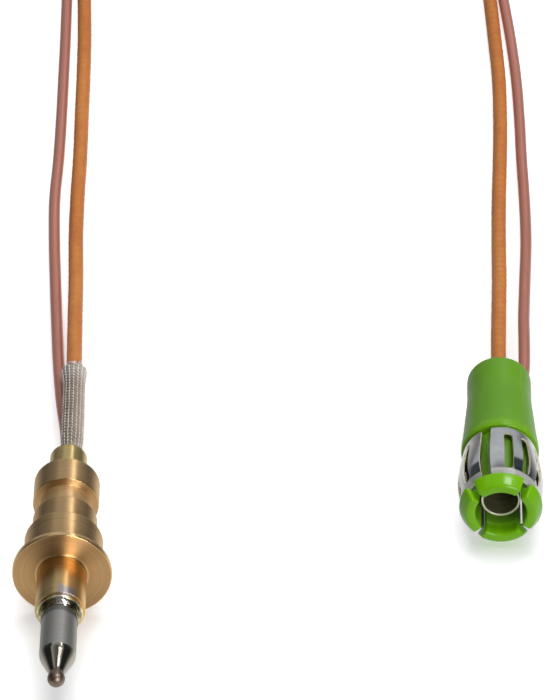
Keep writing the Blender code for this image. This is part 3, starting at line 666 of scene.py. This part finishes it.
# Copper lead: a round enamelled wire.
cu = bpy.data.curves.new("copper_lead", "CURVE")
cu.dimensions = "3D"
cu.bevel_depth = (COPPER_R + 0.02) * MM
cu.bevel_resolution = 5
cu.use_fill_caps = True
spline = cu.splines.new("POLY")
spline.points.add(len(copper_path) - 1)
for q, p in zip(spline.points, copper_path):
    q.co = (*(p * MM), 1.0)
cu.materials.append(copper_look.m)
copper = bpy.data.objects.new("copper_lead", cu)
bpy.context.scene.collection.objects.link(copper)
settle(copper, ROOT, ("copper_lead_head_side", "copper_lead_plug_side"))

# Strap round the coil: a flat band with rounded bends.
TIE_T, TIE_W, TIE_GAP = 0.25, 2.4, 0.22
loop = []
y0, y1, z0, z1 = COIL_IN - TIE_GAP, COIL_OUT + TIE_GAP, COIL_BOTTOM - TIE_GAP, COIL_TOP + TIE_GAP
for cy, cz, a0 in ((y1 - 0.7, z1 - 0.7, 0), (y0 + 0.7, z1 - 0.7, 90), (y0 + 0.7, z0 + 0.7, 180), (y1 - 0.7, z0 + 0.7, 270)):
    for k in range(7):
        a = math.radians(a0 + 90 * k / 6)
        loop.append((cy + 0.7 * math.cos(a), cz + 0.7 * math.sin(a), math.cos(a), math.sin(a)))
verts, faces = [], []
across = [(-TIE_W / 2, 0.05), (-TIE_W / 2 + 0.07, 0.0), (TIE_W / 2 - 0.07, 0.0), (TIE_W / 2, 0.05),
          (TIE_W / 2, TIE_T - 0.06), (TIE_W / 2 - 0.08, TIE_T), (-TIE_W / 2 + 0.08, TIE_T), (-TIE_W / 2, TIE_T - 0.06)]
for y, z, ny, nz in loop:
    verts += [(x * MM, (COIL_Y + y + ny * o) * MM, (z + nz * o) * MM) for x, o in across]
n, m = len(loop), len(across)
for i in range(n):
    j = (i + 1) % n
    for c in range(m):
        e = (c + 1) % m
        faces.append((i * m + c, i * m + e, j * m + e, j * m + c))
tie = piece("coil_strap", verts, faces, [tie_look], sharp=30, node="coil_tie", slot="tie_plastic")

# -------------------------------------------------------------- knitted sleeve
# Glass yarn: chains of stitches along the sleeve, with slanting yarn laid between.
sleeve_path = even([p for p in smooth_route(orange_head, 0.1) if Y0 + 7.6 <= p.y <= Y0 + 27.5], 0.12)
way = steady_frames(sleeve_path)
CHAINS, STITCH = 16, 0.62
verts, faces, picks = [], [], []
total = length_of(sleeve_path)


def ease(v, a, b):
    w = min(max((v - a) / (b - a), 0.0), 1.0)
    return w * w * (3 - 2 * w)


def on_sleeve(turn, run, lift):
    """A place on the sleeve (turn in whole turns), and the way out from its axis there."""
    f = min(max(run / total, 0.0), 1.0) * (len(sleeve_path) - 1)
    i = min(int(f), len(sleeve_path) - 2)
    p = sleeve_path[i].lerp(sleeve_path[i + 1], f - i)
    d, side, up = way[i]
    if run > total:
        p = p + d * (run - total)
    a = 2 * math.pi * turn
    out = side * math.cos(a) + up * math.sin(a)
    return p + out * (1.07 + 0.11 * ease(p.y - Y0, 10.0, 12.4) + 0.24 * ease(p.y - Y0, 23.4, 28.0) + lift), out


def strand(line, radii, pick, sides=6):
    base = len(verts)
    for i, ((p, o), r) in enumerate(zip(line, radii)):
        d = (line[min(i + 1, len(line) - 1)][0] - line[max(i - 1, 0)][0]).normalized()
        o = (o - d * o.dot(d)).normalized()
        flat = o.cross(d)
        for k in range(sides):
            a = 2 * math.pi * k / sides
            verts.append((p + o * (0.85 * r * math.cos(a)) + flat * (r * math.sin(a))) * MM)
    for i in range(len(line) - 1):
        for k in range(sides):
            j = (k + 1) % sides
            u, v = base + i * sides, base + (i + 1) * sides
            faces.append((u + k, u + j, v + j, v + k))
            picks.append(pick)
    faces.append(tuple(base + k for k in range(sides - 1, -1, -1)))
    faces.append(tuple(base + (len(line) - 1) * sides + k for k in range(sides)))
    picks.extend((pick, pick))


for c in range(CHAINS):
    phase = ROLL.uniform(-0.15, 0.15) + 0.5 * (c % 2)
    stop = total + ROLL.uniform(-0.15, 0.12)
    for k in range(-1, int(stop / STITCH) + 1):
        # One stitch of the chain: out over the surface, both ends tucked under.
        start = (k + phase) * STITCH + ROLL.uniform(-0.03, 0.03)
        reach = 0.56 + ROLL.uniform(-0.03, 0.03)
        if start < 0 or start + reach > stop + 0.1:
            continue
        lean = ROLL.uniform(-0.006, 0.006)
        line = [on_sleeve(c / CHAINS + lean * (w - 3) / 3, start + reach * w / 6, 0.10 * math.sin(math.pi * w / 6) - 0.035)
                for w in range(7)]
        strand(line, [0.045, 0.072, 0.086, 0.090, 0.086, 0.072, 0.045], 0, 7)
        # The yarn laid across to the next chain.
        span = 0.44 + ROLL.uniform(-0.04, 0.04)
        if start + 0.1 + span > stop + 0.1:
            continue
        for off, rad, low in ((0.10, 0.090, -0.035), (0.40, 0.075, -0.060)):
            line = [on_sleeve((c + w / 6) / CHAINS, start + off + span * w / 6, low + 0.045 * math.sin(math.pi * w / 6))
                    for w in range(7)]
            strand(line, [rad] * 7, 1, 6)
# Loose fibre ends at the open mouth.
for _ in range(60):
    turn, out_w = ROLL.random(), ROLL.uniform(0.0, 0.10)
    reach = ROLL.uniform(0.25, 0.75)
    lean = ROLL.uniform(-0.03, 0.03)
    line = [on_sleeve(turn + lean * w / 4, total - 0.25 + reach * w / 4, -0.02 + out_w * (w / 4) ** 2) for w in range(5)]
    strand(line, [0.034, 0.032, 0.028, 0.022, 0.012], 0, 4)
# The inner face of the knit, which closes the gaps between its yarns, coloured dark as painted shade in the gaps.
base, rows, around = len(verts), int(total / 0.3), 36
for i in range(rows + 1):
    for k in range(around):
        verts.append(on_sleeve(k / around, (total - 0.15) * i / rows, -0.115)[0] * MM)
for i in range(rows):
    for k in range(around):
        j = (k + 1) % around
        faces.append((base + i * around + k, base + i * around + j, base + (i + 1) * around + j, base + (i + 1) * around + k))
        picks.append(2)
braid = piece("fibreglass_knit", verts, faces, [yarn_look, laid_yarn_shade_look, knit_inside_shade_look], picks, sharp=None, node="fibreglass_sleeve", slot="glass_braid")

# ------------------------------------------------------------------ probe head
def ripple(r0, r1, z, depth, pitch):
    """Lathe rings left on a face, from radius r0 to r1."""
    n = max(2, round(abs(r1 - r0) / pitch))
    return [(r0 + (r1 - r0) * k / n, z - depth * (k % 2) * (0.5 + 0.5 * math.sin(2.3 * k))) for k in range(n + 1)]


def skim(r, z0, z1, depth, pitch):
    """Lathe rings left on a cylinder, from z0 to z1."""
    n = max(2, round(abs(z1 - z0) / pitch))
    return [(r - depth * (k % 2) * (0.5 + 0.5 * math.sin(1.7 * k + r)), z0 + (z1 - z0) * k / n) for k in range(1, n)]


FR, FB, BR, BB, CR, CB, NR, NB, RR, RB = 5.5, -0.75, 4.36, -5.9, 3.6, -9.7, 2.85, -12.7, 3.7, -16.6
corner = lambda r, z, a, b, rad: soften([(r + a[0], z + a[1]), (r, z, rad), (r + b[0], z + b[1])], 0.0)[1:-1]
outline = []
outline += corner(FR, 0.0, (-0.6, 0), (0, -0.3), 0.13)
outline += corner(FR, FB, (0, 0.3), (-0.6, 0), 0.11)
outline += corner(BR, FB, (0.6, 0), (0, -0.6), 0.10)
outline += skim(BR, FB - 0.2, -4.38, 0.005, 0.22)
outline += [(BR, -4.40), (BR - 0.012, -4.46), (BR - 0.012, -4.54), (BR, -4.60)]
outline += skim(BR, -4.62, BB + 0.2, 0.005, 0.22)
outline += corner(BR, BB, (0, 0.6), (-0.3, 0), 0.12)
outline += corner(CR, BB, (0.3, 0), (0, -0.6), 0.06)
outline += skim(CR, BB - 0.2, CB + 0.2, 0.005, 0.20)
outline += corner(CR, CB, (0, 0.6), (-0.3, 0), 0.14)
outline += corner(NR, CB, (0.3, 0), (0, -0.6), 0.09)
outline += skim(NR, CB - 0.2, NB + 0.2, 0.005, 0.20)
outline += corner(NR, NB, (0, 0.6), (0.3, 0), 0.09)
outline += corner(RR, NB, (-0.3, 0), (0, -0.6), 0.10)
outline += skim(RR, NB - 0.2, RB + 0.4, 0.005, 0.20)
outline += corner(RR, RB, (0, 0.8), (-0.8, 0), 0.20)
outline += [(2.15, RB), (2.15, -13.4), (1.55, -13.4), (1.55, -5.2), (2.80, -5.2), (2.80, -0.6), (2.765, -0.3)]
outline += [(2.765 + 0.16 * (1 - math.cos(a)), 0.13 - 0.13 * math.sin(a)) for a in [math.pi / 2 * k / 6 for k in range(7)]]
outline += ripple(3.0, 5.30, 0.0, 0.010, 0.085)


def bush_part(r, z):
    """Facing cuts, polished rims, and the plain turned outside."""
    if abs(z) < 0.03 and 3.02 < r < 5.36:
        return 1
    if abs(z - NB) < 0.02 and 2.95 < r < 3.60:
        return 3
    if (r > 5.36 and FB - 0.02 < z) or (r > 3.58 and NB - 0.11 < z < NB + 0.02) or (r > BR - 0.13 and BB - 0.02 < z < BB + 0.13):
        return 2
    if 2.5 < r < 3.0 and NB + 0.02 < z < CB:
        return 4
    return 0


lathe("bush", outline, head_frame, [bush_look, face_look, rim_look, ring_face_painted_light_look, neck_look], seg=168, node="mounting_bush", slot="bush_brass", pick=bush_part)

lathe("sleeve", soften([(2.75, 6.5, 0.10), (2.75, -4.9, 0.1), (1.25, -4.9, 0), (1.25, -1.3, 0), (2.06, -1.3, 0), (2.06, 6.5, 0)], 0.1),
      head_frame, [sleeve_look], seg=128, node="sensor_sleeve", slot="sleeve_brass")


def wrinkle(a, r, z):
    if r < 2.07:
        return 0.0
    p = Vector((math.cos(a), math.sin(a), 0.0))
    side = min(1.0, max(0.0, 1.0 - p.y) * 0.8)
    swell = noise.noise(p * 2.2 + Vector((3, 0, z * 0.5)))
    fold = math.sin(11.5 * z + 2.2 * swell) * (0.2 + 0.8 * side)
    crease = noise.noise(Vector((p.x * 4.5 + 4.0, p.y * 4.5, z * 3.0)))
    return min(0.05, 0.04 * swell + 0.025 * fold + 0.025 * crease)


# A fillet that ends soon on top of the sheath and runs farther along its sides.
ring = [(2.03, 8.6), (2.04, 8.56)]
ring += [(2.05 + 0.38 * w ** 1.7, 8.54 - 1.54 * w) for w in [k / 26 for k in range(27)]]
ring += [(2.47 + 0.07 * math.sin(a), 6.86 + 0.16 * math.cos(a)) for a in [math.radians(25 + 120 * k / 12) for k in range(13)]]
ring += [(2.50, 6.62), (2.46, 6.55), (2.05, 6.55)]
braze = lathe("braze", ring, head_frame, [braze_look], seg=200, swell=wrinkle, sharp=None, node="braze_ring", slot="braze")
for v in braze.data.vertices:
    z = v.co.z / MM
    if z > 6.9:
        a = math.atan2(v.co.y, v.co.x)
        v.co.z = (6.9 + (z - 6.9) * (0.45 + 0.55 * min(1.0, 1.15 * (1.0 - math.sin(a)))
                                     + 0.10 * noise.noise(Vector((2.5 * math.cos(a), 2.5 * math.sin(a), 7.0))))) * MM

cone = [(1.99, 6.0)] + [(1.99, 8.0 + 0.7 * k) for k in range(9)]
cone += [(1.99 - 0.12 * w ** 2, 13.95 + 0.72 * w) for w in [k / 8 for k in range(9)]]
cone += [(1.87 - (1.87 - 0.84) * k / 14, 14.67 + (17.12 - 14.67) * k / 14) for k in range(1, 15)]
cone += [(0.815, 17.2), (0.46, 17.2), (0.46, 16.5), (1.60, 13.8), (1.60, -1.0), (1.99, -1.0)]
lathe("sheath", cone, head_frame, [sheath_look, cone_look], seg=128, pick=lambda r, z: 1 if z > 14.2 and r > 0.5 else 0,
      sharp=60, node="sheath_tube", slot="sheath_alloy")

bead = [(0.0, 17.21), (0.80, 17.21), (0.795, 17.30), (0.80, 17.38)]
bead += [(0.96 * math.cos(a), 18.0 + 0.96 * math.sin(a)) for a in [math.radians(-33 + 123 * k / 30) for k in range(31)]]
bead[-1] = (0.0, 18.96)
lathe("bead", bead, head_frame, [bead_look], seg=72, closed=False, sharp=None,
      swell=lambda a, r, z: 0.022 * noise.noise(Vector((2.2 * r * math.cos(a), 2.2 * r * math.sin(a), 2.2 * z))) if z > 17.5 and r > 0.1 else 0.0,
      node="hot_junction_bead", slot="bead_alloy")

ferrule = [(1.95, -13.6), (2.10, -13.6)] + skim(2.10, -13.7, -20.9, 0.004, 0.25)
ferrule += corner(2.10, -21.3, (0, 0.5), (-0.07, 0), 0.07) + corner(1.95, -21.3, (0.07, 0), (0, 0.5), 0.07)
lathe("ferrule", ferrule, head_frame, [tube_look], seg=112, node="rear_ferrule", slot="ferrule_brass")

# ------------------------------------------------------------------------ plug
ridge = math.radians(90 - 41)
angles = sorted({round(2 * math.pi * k / 144, 6) for k in range(144)}
                | {round(ridge + math.radians(d), 6) for d in (-1.6, -1.1, -0.55, 0.0, 0.55, 1.1, 1.6)})
angles = [a for i, a in enumerate(angles) if i == 0 or a - angles[i - 1] > 0.004]


def seam(a, r, z):
    """The mould's parting line, a low ridge along the barrel on both sides."""
    off = min(abs(math.degrees(a - ridge)), abs(math.degrees(a - ridge - math.pi)))
    return 0.035 * max(0.0, 1.0 - off / 0.9) if r > 3.5 and z < 0.6 else 0.0


barrel = [(3.42, 1.4), (3.42, 0.72)]
rim = [(4.10 + 0.32 * math.cos(a), 0.38 + 0.32 * math.sin(a)) for a in [math.pi / 2 * k / 10 for k in range(10, -1, -1)]]
barrel += rim
barrel += [(v.x, v.y) for v in smooth_route([(4.42, 0.36, 0), (4.42, -0.35, 0), (4.36, -1.0, 0), (4.24, -2.1, 0), (4.0, -5.2, 0), (3.77, -8.3, 0),
                                             (3.69, -9.9, 0), (3.71, -11.5, 0), (3.69, -13.06, 0)], 0.45)]
barrel += [(3.27 + 0.42 * math.cos(a), -13.08 - 0.42 * math.sin(a)) for a in [math.pi / 2 * k / 8 for k in range(1, 9)]]
barrel += [(1.02, -13.5), (0.94, -13.42), (0.94, -9.0), (1.20, -9.0), (1.20, -4.6), (2.27, -4.6), (2.27, 1.4)]
body = lathe("barrel", barrel, plug_frame, [barrel_look], angles=angles, swell=seam, body=None)
drills = []
for radius, s0, s1 in ((0.74, BARREL_REAR - 2.0, PASS_STEP), (0.47, PASS_STEP - 0.5, SPIGOT_FRONT + 2.0)):
    a, b = (PASS_REAR + along_pass * ((v - BARREL_REAR) / along_pass.z) for v in (s0, s1))
    bm = bmesh.new()
    bmesh.ops.create_cone(bm, cap_ends=True, segments=40, radius1=radius * MM, radius2=radius * MM, depth=(b - a).length * MM)
    drill_mesh = bpy.data.meshes.new("drill")
    bm.to_mesh(drill_mesh)
    bm.free()
    drill = bpy.data.objects.new("drill", drill_mesh)
    bpy.context.scene.collection.objects.link(drill)
    drill.matrix_world = (plug_frame @ Matrix.Translation((a + b) / 2 * MM)
                          @ Vector((0, 0, 1)).rotation_difference(along_pass).to_matrix().to_4x4())
    hole = body.modifiers.new("passage", "BOOLEAN")
    hole.operation, hole.object, hole.solver = "DIFFERENCE", drill, "EXACT"
    drills.append(drill)
bpy.context.view_layer.update()
made = bpy.data.meshes.new_from_object(body.evaluated_get(bpy.context.evaluated_depsgraph_get()))
body.modifiers.clear()
body.data = made
for drill in drills:
    bpy.data.objects.remove(drill, do_unlink=True)
made.materials.clear()
made.materials.append(barrel_look.m)
made.polygons.foreach_set("material_index", [0] * len(made.polygons))
made.shade_smooth()
made.set_sharp_from_angle(angle=math.radians(38))
settle(body, ROOT, "plug_body")

tube = [(2.20, -4.4), (2.20, 9.18)]
tube += [(2.14 + 0.06 * math.cos(a), 9.24 + 0.06 * math.sin(a)) for a in [math.pi / 2 * k / 5 for k in range(6)]]
tube += [(2.01 - 0.06 * math.sin(a), 9.24 + 0.06 * math.cos(a)) for a in [math.pi / 2 * k / 5 for k in range(6)]]
tube += [(1.95, 9.18), (1.95, -4.4)]
lathe("contact", tube, plug_frame, [contact_look, bore_painted_shade_look], seg=112,
      pick=lambda r, z: 1 if r < 1.96 and z < 9.1 else 0, sharp=60, node="contact_tube", slot="contact_silver")

# Claws: the ring's arc with its hook, rounded along every edge.
HOOK = [(3.50, 0.75), (2.80, 0.75), (2.80, 11.1), (2.90, 11.9), (3.93, 11.9), (4.79, 10.26), (3.50, 10.2)]


def claw(name, middle, body):
    # Wide first and last steps leave room for the rounded sides.
    turns = [-38.8] + [-31.0 + 62.0 * k / 16 for k in range(17)] + [38.8]
    bm = bmesh.new()
    rings = []
    for turn in turns:
        a = math.radians(middle + turn)
        rings.append([bm.verts.new((r * MM * math.cos(a), r * MM * math.sin(a), s * MM)) for r, s in HOOK])
    for p, q in zip(rings, rings[1:]):
        for i in range(len(p)):
            j = (i + 1) % len(p)
            bm.faces.new((p[i], p[j], q[j], q[i]))
    bm.faces.new(rings[0])
    bm.faces.new(rings[-1][::-1])
    bmesh.ops.recalc_face_normals(bm, faces=bm.faces)
    crisp = [e for e in bm.edges if len(e.link_faces) == 2 and e.calc_face_angle() > math.radians(20)]
    bmesh.ops.bevel(bm, geom=crisp, offset=0.30 * MM, offset_type="OFFSET", segments=5, profile=0.5,
                    affect="EDGES", clamp_overlap=True)
    me = bpy.data.meshes.new(name)
    bmesh.ops.recalc_face_normals(bm, faces=bm.faces)
    bm.to_mesh(me)
    bm.free()
    me.shade_smooth()
    me.set_sharp_from_angle(angle=math.radians(40))
    me.materials.append(claw_painted_lighter_look.m)
    ob = bpy.data.objects.new(name, me)
    bpy.context.scene.collection.objects.link(ob)
    ob.matrix_world = plug_frame
    settle(ob, body, body)
    return ob


for k, side in enumerate(("right", "top", "left", "bottom")):
    claw("snap_claw_" + side, PLUG_ROLL + 90 * k, "claw_" + side)

# Spring cage: sheet bars between round-ended slots, bowed out in the middle.
CAGE = [(0.95, 4.18), (1.35, 4.26), (2.3, 4.38), (4.2, 4.64), (6.3, 4.81), (7.9, 4.74), (9.05, 4.46), (9.9, 4.12)]
SPLIT, SPLIT_W, SLOTS, PITCH, SLOT_W, S0, S1, SHEET = 113.8, 16.0, 12, 26.5, 13.0, 2.3, 9.05, 0.25
bow = smooth_route([(r, s, 0) for s, r in CAGE], 0.05)


def bow_r(s):
    for a, b in zip(bow, bow[1:]):
        if a.y <= s <= b.y:
            return a.x + (b.x - a.x) * (s - a.y) / max(b.y - a.y, 1e-9)
    return bow[0].x if s < bow[0].y else bow[-1].x


def slot_half(s):
    """Half the slot's width, in degrees, at this place along it."""
    if not S0 < s < S1:
        return 0.0
    end = 0.50                                         # millimetres of rounded end
    full = SLOT_W / 2
    near = min(s - S0, S1 - s)
    return full if near >= end else full * math.sqrt(max(0.0, 1 - (1 - near / end) ** 2))


def lip_half(s):
    """How far a panel's corner is rounded back from the split, in degrees."""
    near = min(s - 0.95, 9.9 - s)
    return 0.0 if near > 0.4 else math.degrees((0.4 - math.sqrt(max(0.0, 0.16 - (0.4 - near) ** 2))) / 4.1)


rows = sorted({0.95 + 0.4 * (1 - math.cos(math.pi / 2 * k / 6)) for k in range(7)}
              | {9.9 - 0.4 * (1 - math.cos(math.pi / 2 * k / 6)) for k in range(7)}
              | {S0 + 0.50 * (1 - math.cos(math.pi / 2 * k / 8)) for k in range(9)}
              | {S1 - 0.50 * (1 - math.cos(math.pi / 2 * k / 8)) for k in range(9)}
              | {1.6, 1.9, 2.1, 9.15, 9.3} | {2.9 + 0.3 * k for k in range(20)})
rows = [s for i, s in enumerate(rows) if i == 0 or s - rows[i - 1] > 1e-4]
middles = [SPLIT - 34.1 - PITCH * i for i in range(SLOTS)]
bars = [(None, middles[0])] + list(zip(middles, middles[1:])) + [(middles[-1], None)]
COLS = 9
verts, faces, keys = [], [], {}


def cage_vertex(a, s, lay):
    key = (round(a, 4), round(s, 5), lay)
    if key not in keys:
        r = (bow_r(s) - SHEET * lay) * MM
        keys[key] = len(verts)
        verts.append((r * math.cos(math.radians(a)), r * math.sin(math.radians(a)), s * MM))
    return keys[key]


cells = []
for left, right in bars:
    grid = []
    for s in rows:
        a = SPLIT - SPLIT_W / 2 - lip_half(s) if left is None else left - slot_half(s)
        b = SPLIT + SPLIT_W / 2 - 360 + lip_half(s) if right is None else right + slot_half(s)
        grid.append([a + (b - a) * c / (COLS - 1) for c in range(COLS)])
    for i in range(len(rows) - 1):
        for c in range(COLS - 1):
            cells.append([(grid[i][c], rows[i]), (grid[i][c + 1], rows[i]), (grid[i + 1][c + 1], rows[i + 1]), (grid[i + 1][c], rows[i + 1])])
used = {}
picks = []
for cell in cells:
    for lay in (0, 1):
        f = [cage_vertex(a, s, lay) for a, s in cell]
        f = [v for i, v in enumerate(f) if v != f[i - 1]]
        if len(f) > 2:
            faces.append(tuple(f if lay == 0 else f[::-1]))
            picks.append(2 * lay)
    ring = [cage_vertex(a, s, 0) for a, s in cell]
    low = [cage_vertex(a, s, 1) for a, s in cell]
    for i in range(4):
        j = (i + 1) % 4
        if ring[i] != ring[j]:
            key = tuple(sorted((ring[i], ring[j])))
            used.setdefault(key, []).append((ring[i], ring[j], low[j], low[i]))
for quads in used.values():
    if len(quads) == 1:
        faces.append(quads[0][::-1])
        picks.append(1)
cage = piece("spring_cage_sheet", verts, faces, [cage_look, edge_look, inside_painted_shade_look], picks, plug_frame, sharp=40,
             node="spring_cage", slot="nickel_spring")

# ------------------------------------------------------------ floor and lights
floor_mesh = bpy.data.meshes.new("floor")
floor_mesh.from_pydata([(-4, -4, 0), (4, -4, 0), (4, 4, 0), (-4, 4, 0)], [], [(0, 1, 2, 3)])
floor = bpy.data.objects.new("floor", floor_mesh)
bpy.context.scene.collection.objects.link(floor)
k = Look("floor_paper", (0.90, 0.90, 0.90), 0.75)
tooth = k.noise(k.where(), scale=900.0, detail=2.0, rough=0.5)
k.put("Base Color", k.mix(tooth, (0.895, 0.895, 0.895), (0.905, 0.905, 0.905)))
k.put("Specular IOR Level", 0.10)
k.put("Emission Color", (1.0, 1.0, 1.0, 1.0))
k.put("Emission Strength", 0.42)
floor_mesh.materials.append(k.m)
floor.visible_diffuse = False
floor.visible_glossy = False

# Studio surroundings: a pale panel from behind to overhead, dark to either side of it.
world = bpy.data.worlds.new("studio")
bpy.context.scene.world = world
world.use_nodes = True
wt = world.node_tree
bg = wt.nodes["Background"]


def world_ramp(fac, stops):
    n = wt.nodes.new("ShaderNodeValToRGB")
    while len(n.color_ramp.elements) < len(stops):
        n.color_ramp.elements.new(0.5)
    for e, (p, v, blue) in zip(n.color_ramp.elements, stops):
        e.position = p
        e.color = (v, v * (1 + 0.4 * blue), v * (1 + blue), 1.0)
    wt.links.new(fac, n.inputs["Fac"])
    return n.outputs["Color"]


def world_mix(fac, a, b):
    n = wt.nodes.new("ShaderNodeMix")
    n.data_type = "RGBA"
    wt.links.new(fac, n.inputs["Factor"])
    for i, v in ((6, a), (7, b)):
        if isinstance(v, bpy.types.NodeSocket):
            wt.links.new(v, n.inputs[i])
        else:
            n.inputs[i].default_value = (*v, 1.0)
    return n.outputs[2]


def world_span(v, a, b):
    n = wt.nodes.new("ShaderNodeMapRange")
    n.interpolation_type = "SMOOTHSTEP"
    wt.links.new(v, n.inputs["Value"])
    n.inputs["From Min"].default_value, n.inputs["From Max"].default_value = a, b
    return n.outputs["Result"]


coord = wt.nodes.new("ShaderNodeTexCoord")
sep = wt.nodes.new("ShaderNodeSeparateXYZ")
wt.links.new(coord.outputs["Generated"], sep.inputs[0])
wide = wt.nodes.new("ShaderNodeMath")
wide.operation = "ABSOLUTE"
wt.links.new(sep.outputs["X"], wide.inputs[0])
spread = wt.nodes.new("ShaderNodeMath")
spread.operation = "MULTIPLY_ADD"
wt.links.new(sep.outputs["Y"], spread.inputs[0])
spread.inputs[1].default_value = 0.42
wt.links.new(wide.outputs[0], spread.inputs[2])
middle = world_ramp(sep.outputs["Z"], [(0.0, 0.24, 0.10), (0.2, 0.44, 0.11), (0.5, 0.68, 0.10), (0.80, 0.60, 0.08), (0.9, 0.42, 0.07), (1.0, 0.12, 0.05)])
sides = world_ramp(sep.outputs["Y"], [(0.0, 0.030, 0.05), (0.36, 0.030, 0.05), (0.44, 0.055, 0.40),
                                      (0.71, 0.055, 0.40), (0.77, 0.52, 0.10), (1.0, 0.50, 0.10)])
sides = world_mix(world_span(sep.outputs["Z"], 0.0, 0.24), (0.20, 0.205, 0.21), sides)
back = world_mix(world_span(spread.outputs[0], 0.58, 0.68), middle, sides)
whole = world_mix(world_span(sep.outputs["Y"], -0.05, -0.30), back, (0.12, 0.12, 0.125))
paper = world_mix(world_span(sep.outputs["X"], -0.5, 0.6), (0.70, 0.70, 0.70), (1.00, 1.00, 1.00))
paper = world_mix(world_span(sep.outputs["Z"], -0.40, -0.03), paper, (0.30, 0.30, 0.31))
below = world_mix(world_span(sep.outputs["Z"], -0.02, 0.0), paper, whole)
wt.links.new(below, bg.inputs["Color"])
bg.inputs["Strength"].default_value = 1.0


def area(name, place, look_at, size, power, shape="RECTANGLE", glossy=True, colour=(1, 1, 1)):
    li = bpy.data.lights.new(name, "AREA")
    li.shape = shape
    li.size, li.size_y = size
    li.energy = power
    li.color = colour
    ob = bpy.data.objects.new(name, li)
    bpy.context.scene.collection.objects.link(ob)
    ob.location = place
    ob.rotation_euler = (Vector(look_at) - Vector(place)).to_track_quat("-Z", "Y").to_euler()
    ob.visible_glossy = glossy
    return ob


# A strip behind and to the right gives the highlight along every round piece, and a
# crosswise one overhead gives the glints on rounded edges, the cone and the hooks.
strip = area("strip", (0.46, 1.20, 1.15), (0.0, 1.20, 0.0), (0.15, 1.7), 2.0)
strip.rotation_euler = (0.0, math.atan2(0.42, 1.15), 0.0)
area("overhead", (0.30, 0.1, 1.5), (0, 0.05, 0), (1.8, 1.8), 10.0, glossy=False)
crown = area("crown", (0.40, -0.08, 1.30), (0, 0, 0), (0.42, 0.30), 5.5)
crown.rotation_euler = (0.0, math.atan2(0.40, 1.30), 0.0)
front = area("front", (0.44, -1.15, 0.52), (0, 0, 0), (0.55, 0.55), 8.5, colour=(1.0, 0.98, 0.95))

# The paper has a lamp of its own, behind and above, so shadows fall to the front.
paper_lamp = area("paper_lamp", (0.0, 0.42, 1.1), (0, 0, 0), (0.75, 0.75), 7.4, glossy=False)


def lights_floor(lamp, state):
    group = bpy.data.collections.new(lamp.name + "_receivers")
    group.objects.link(floor)
    group.collection_objects[0].light_linking.link_state = state
    lamp.light_linking.receiver_collection = group


lights_floor(paper_lamp, "INCLUDE")
lights_floor(crown, "EXCLUDE")
lights_floor(front, "EXCLUDE")

bpy.context.scene.view_settings.view_transform = "Standard"
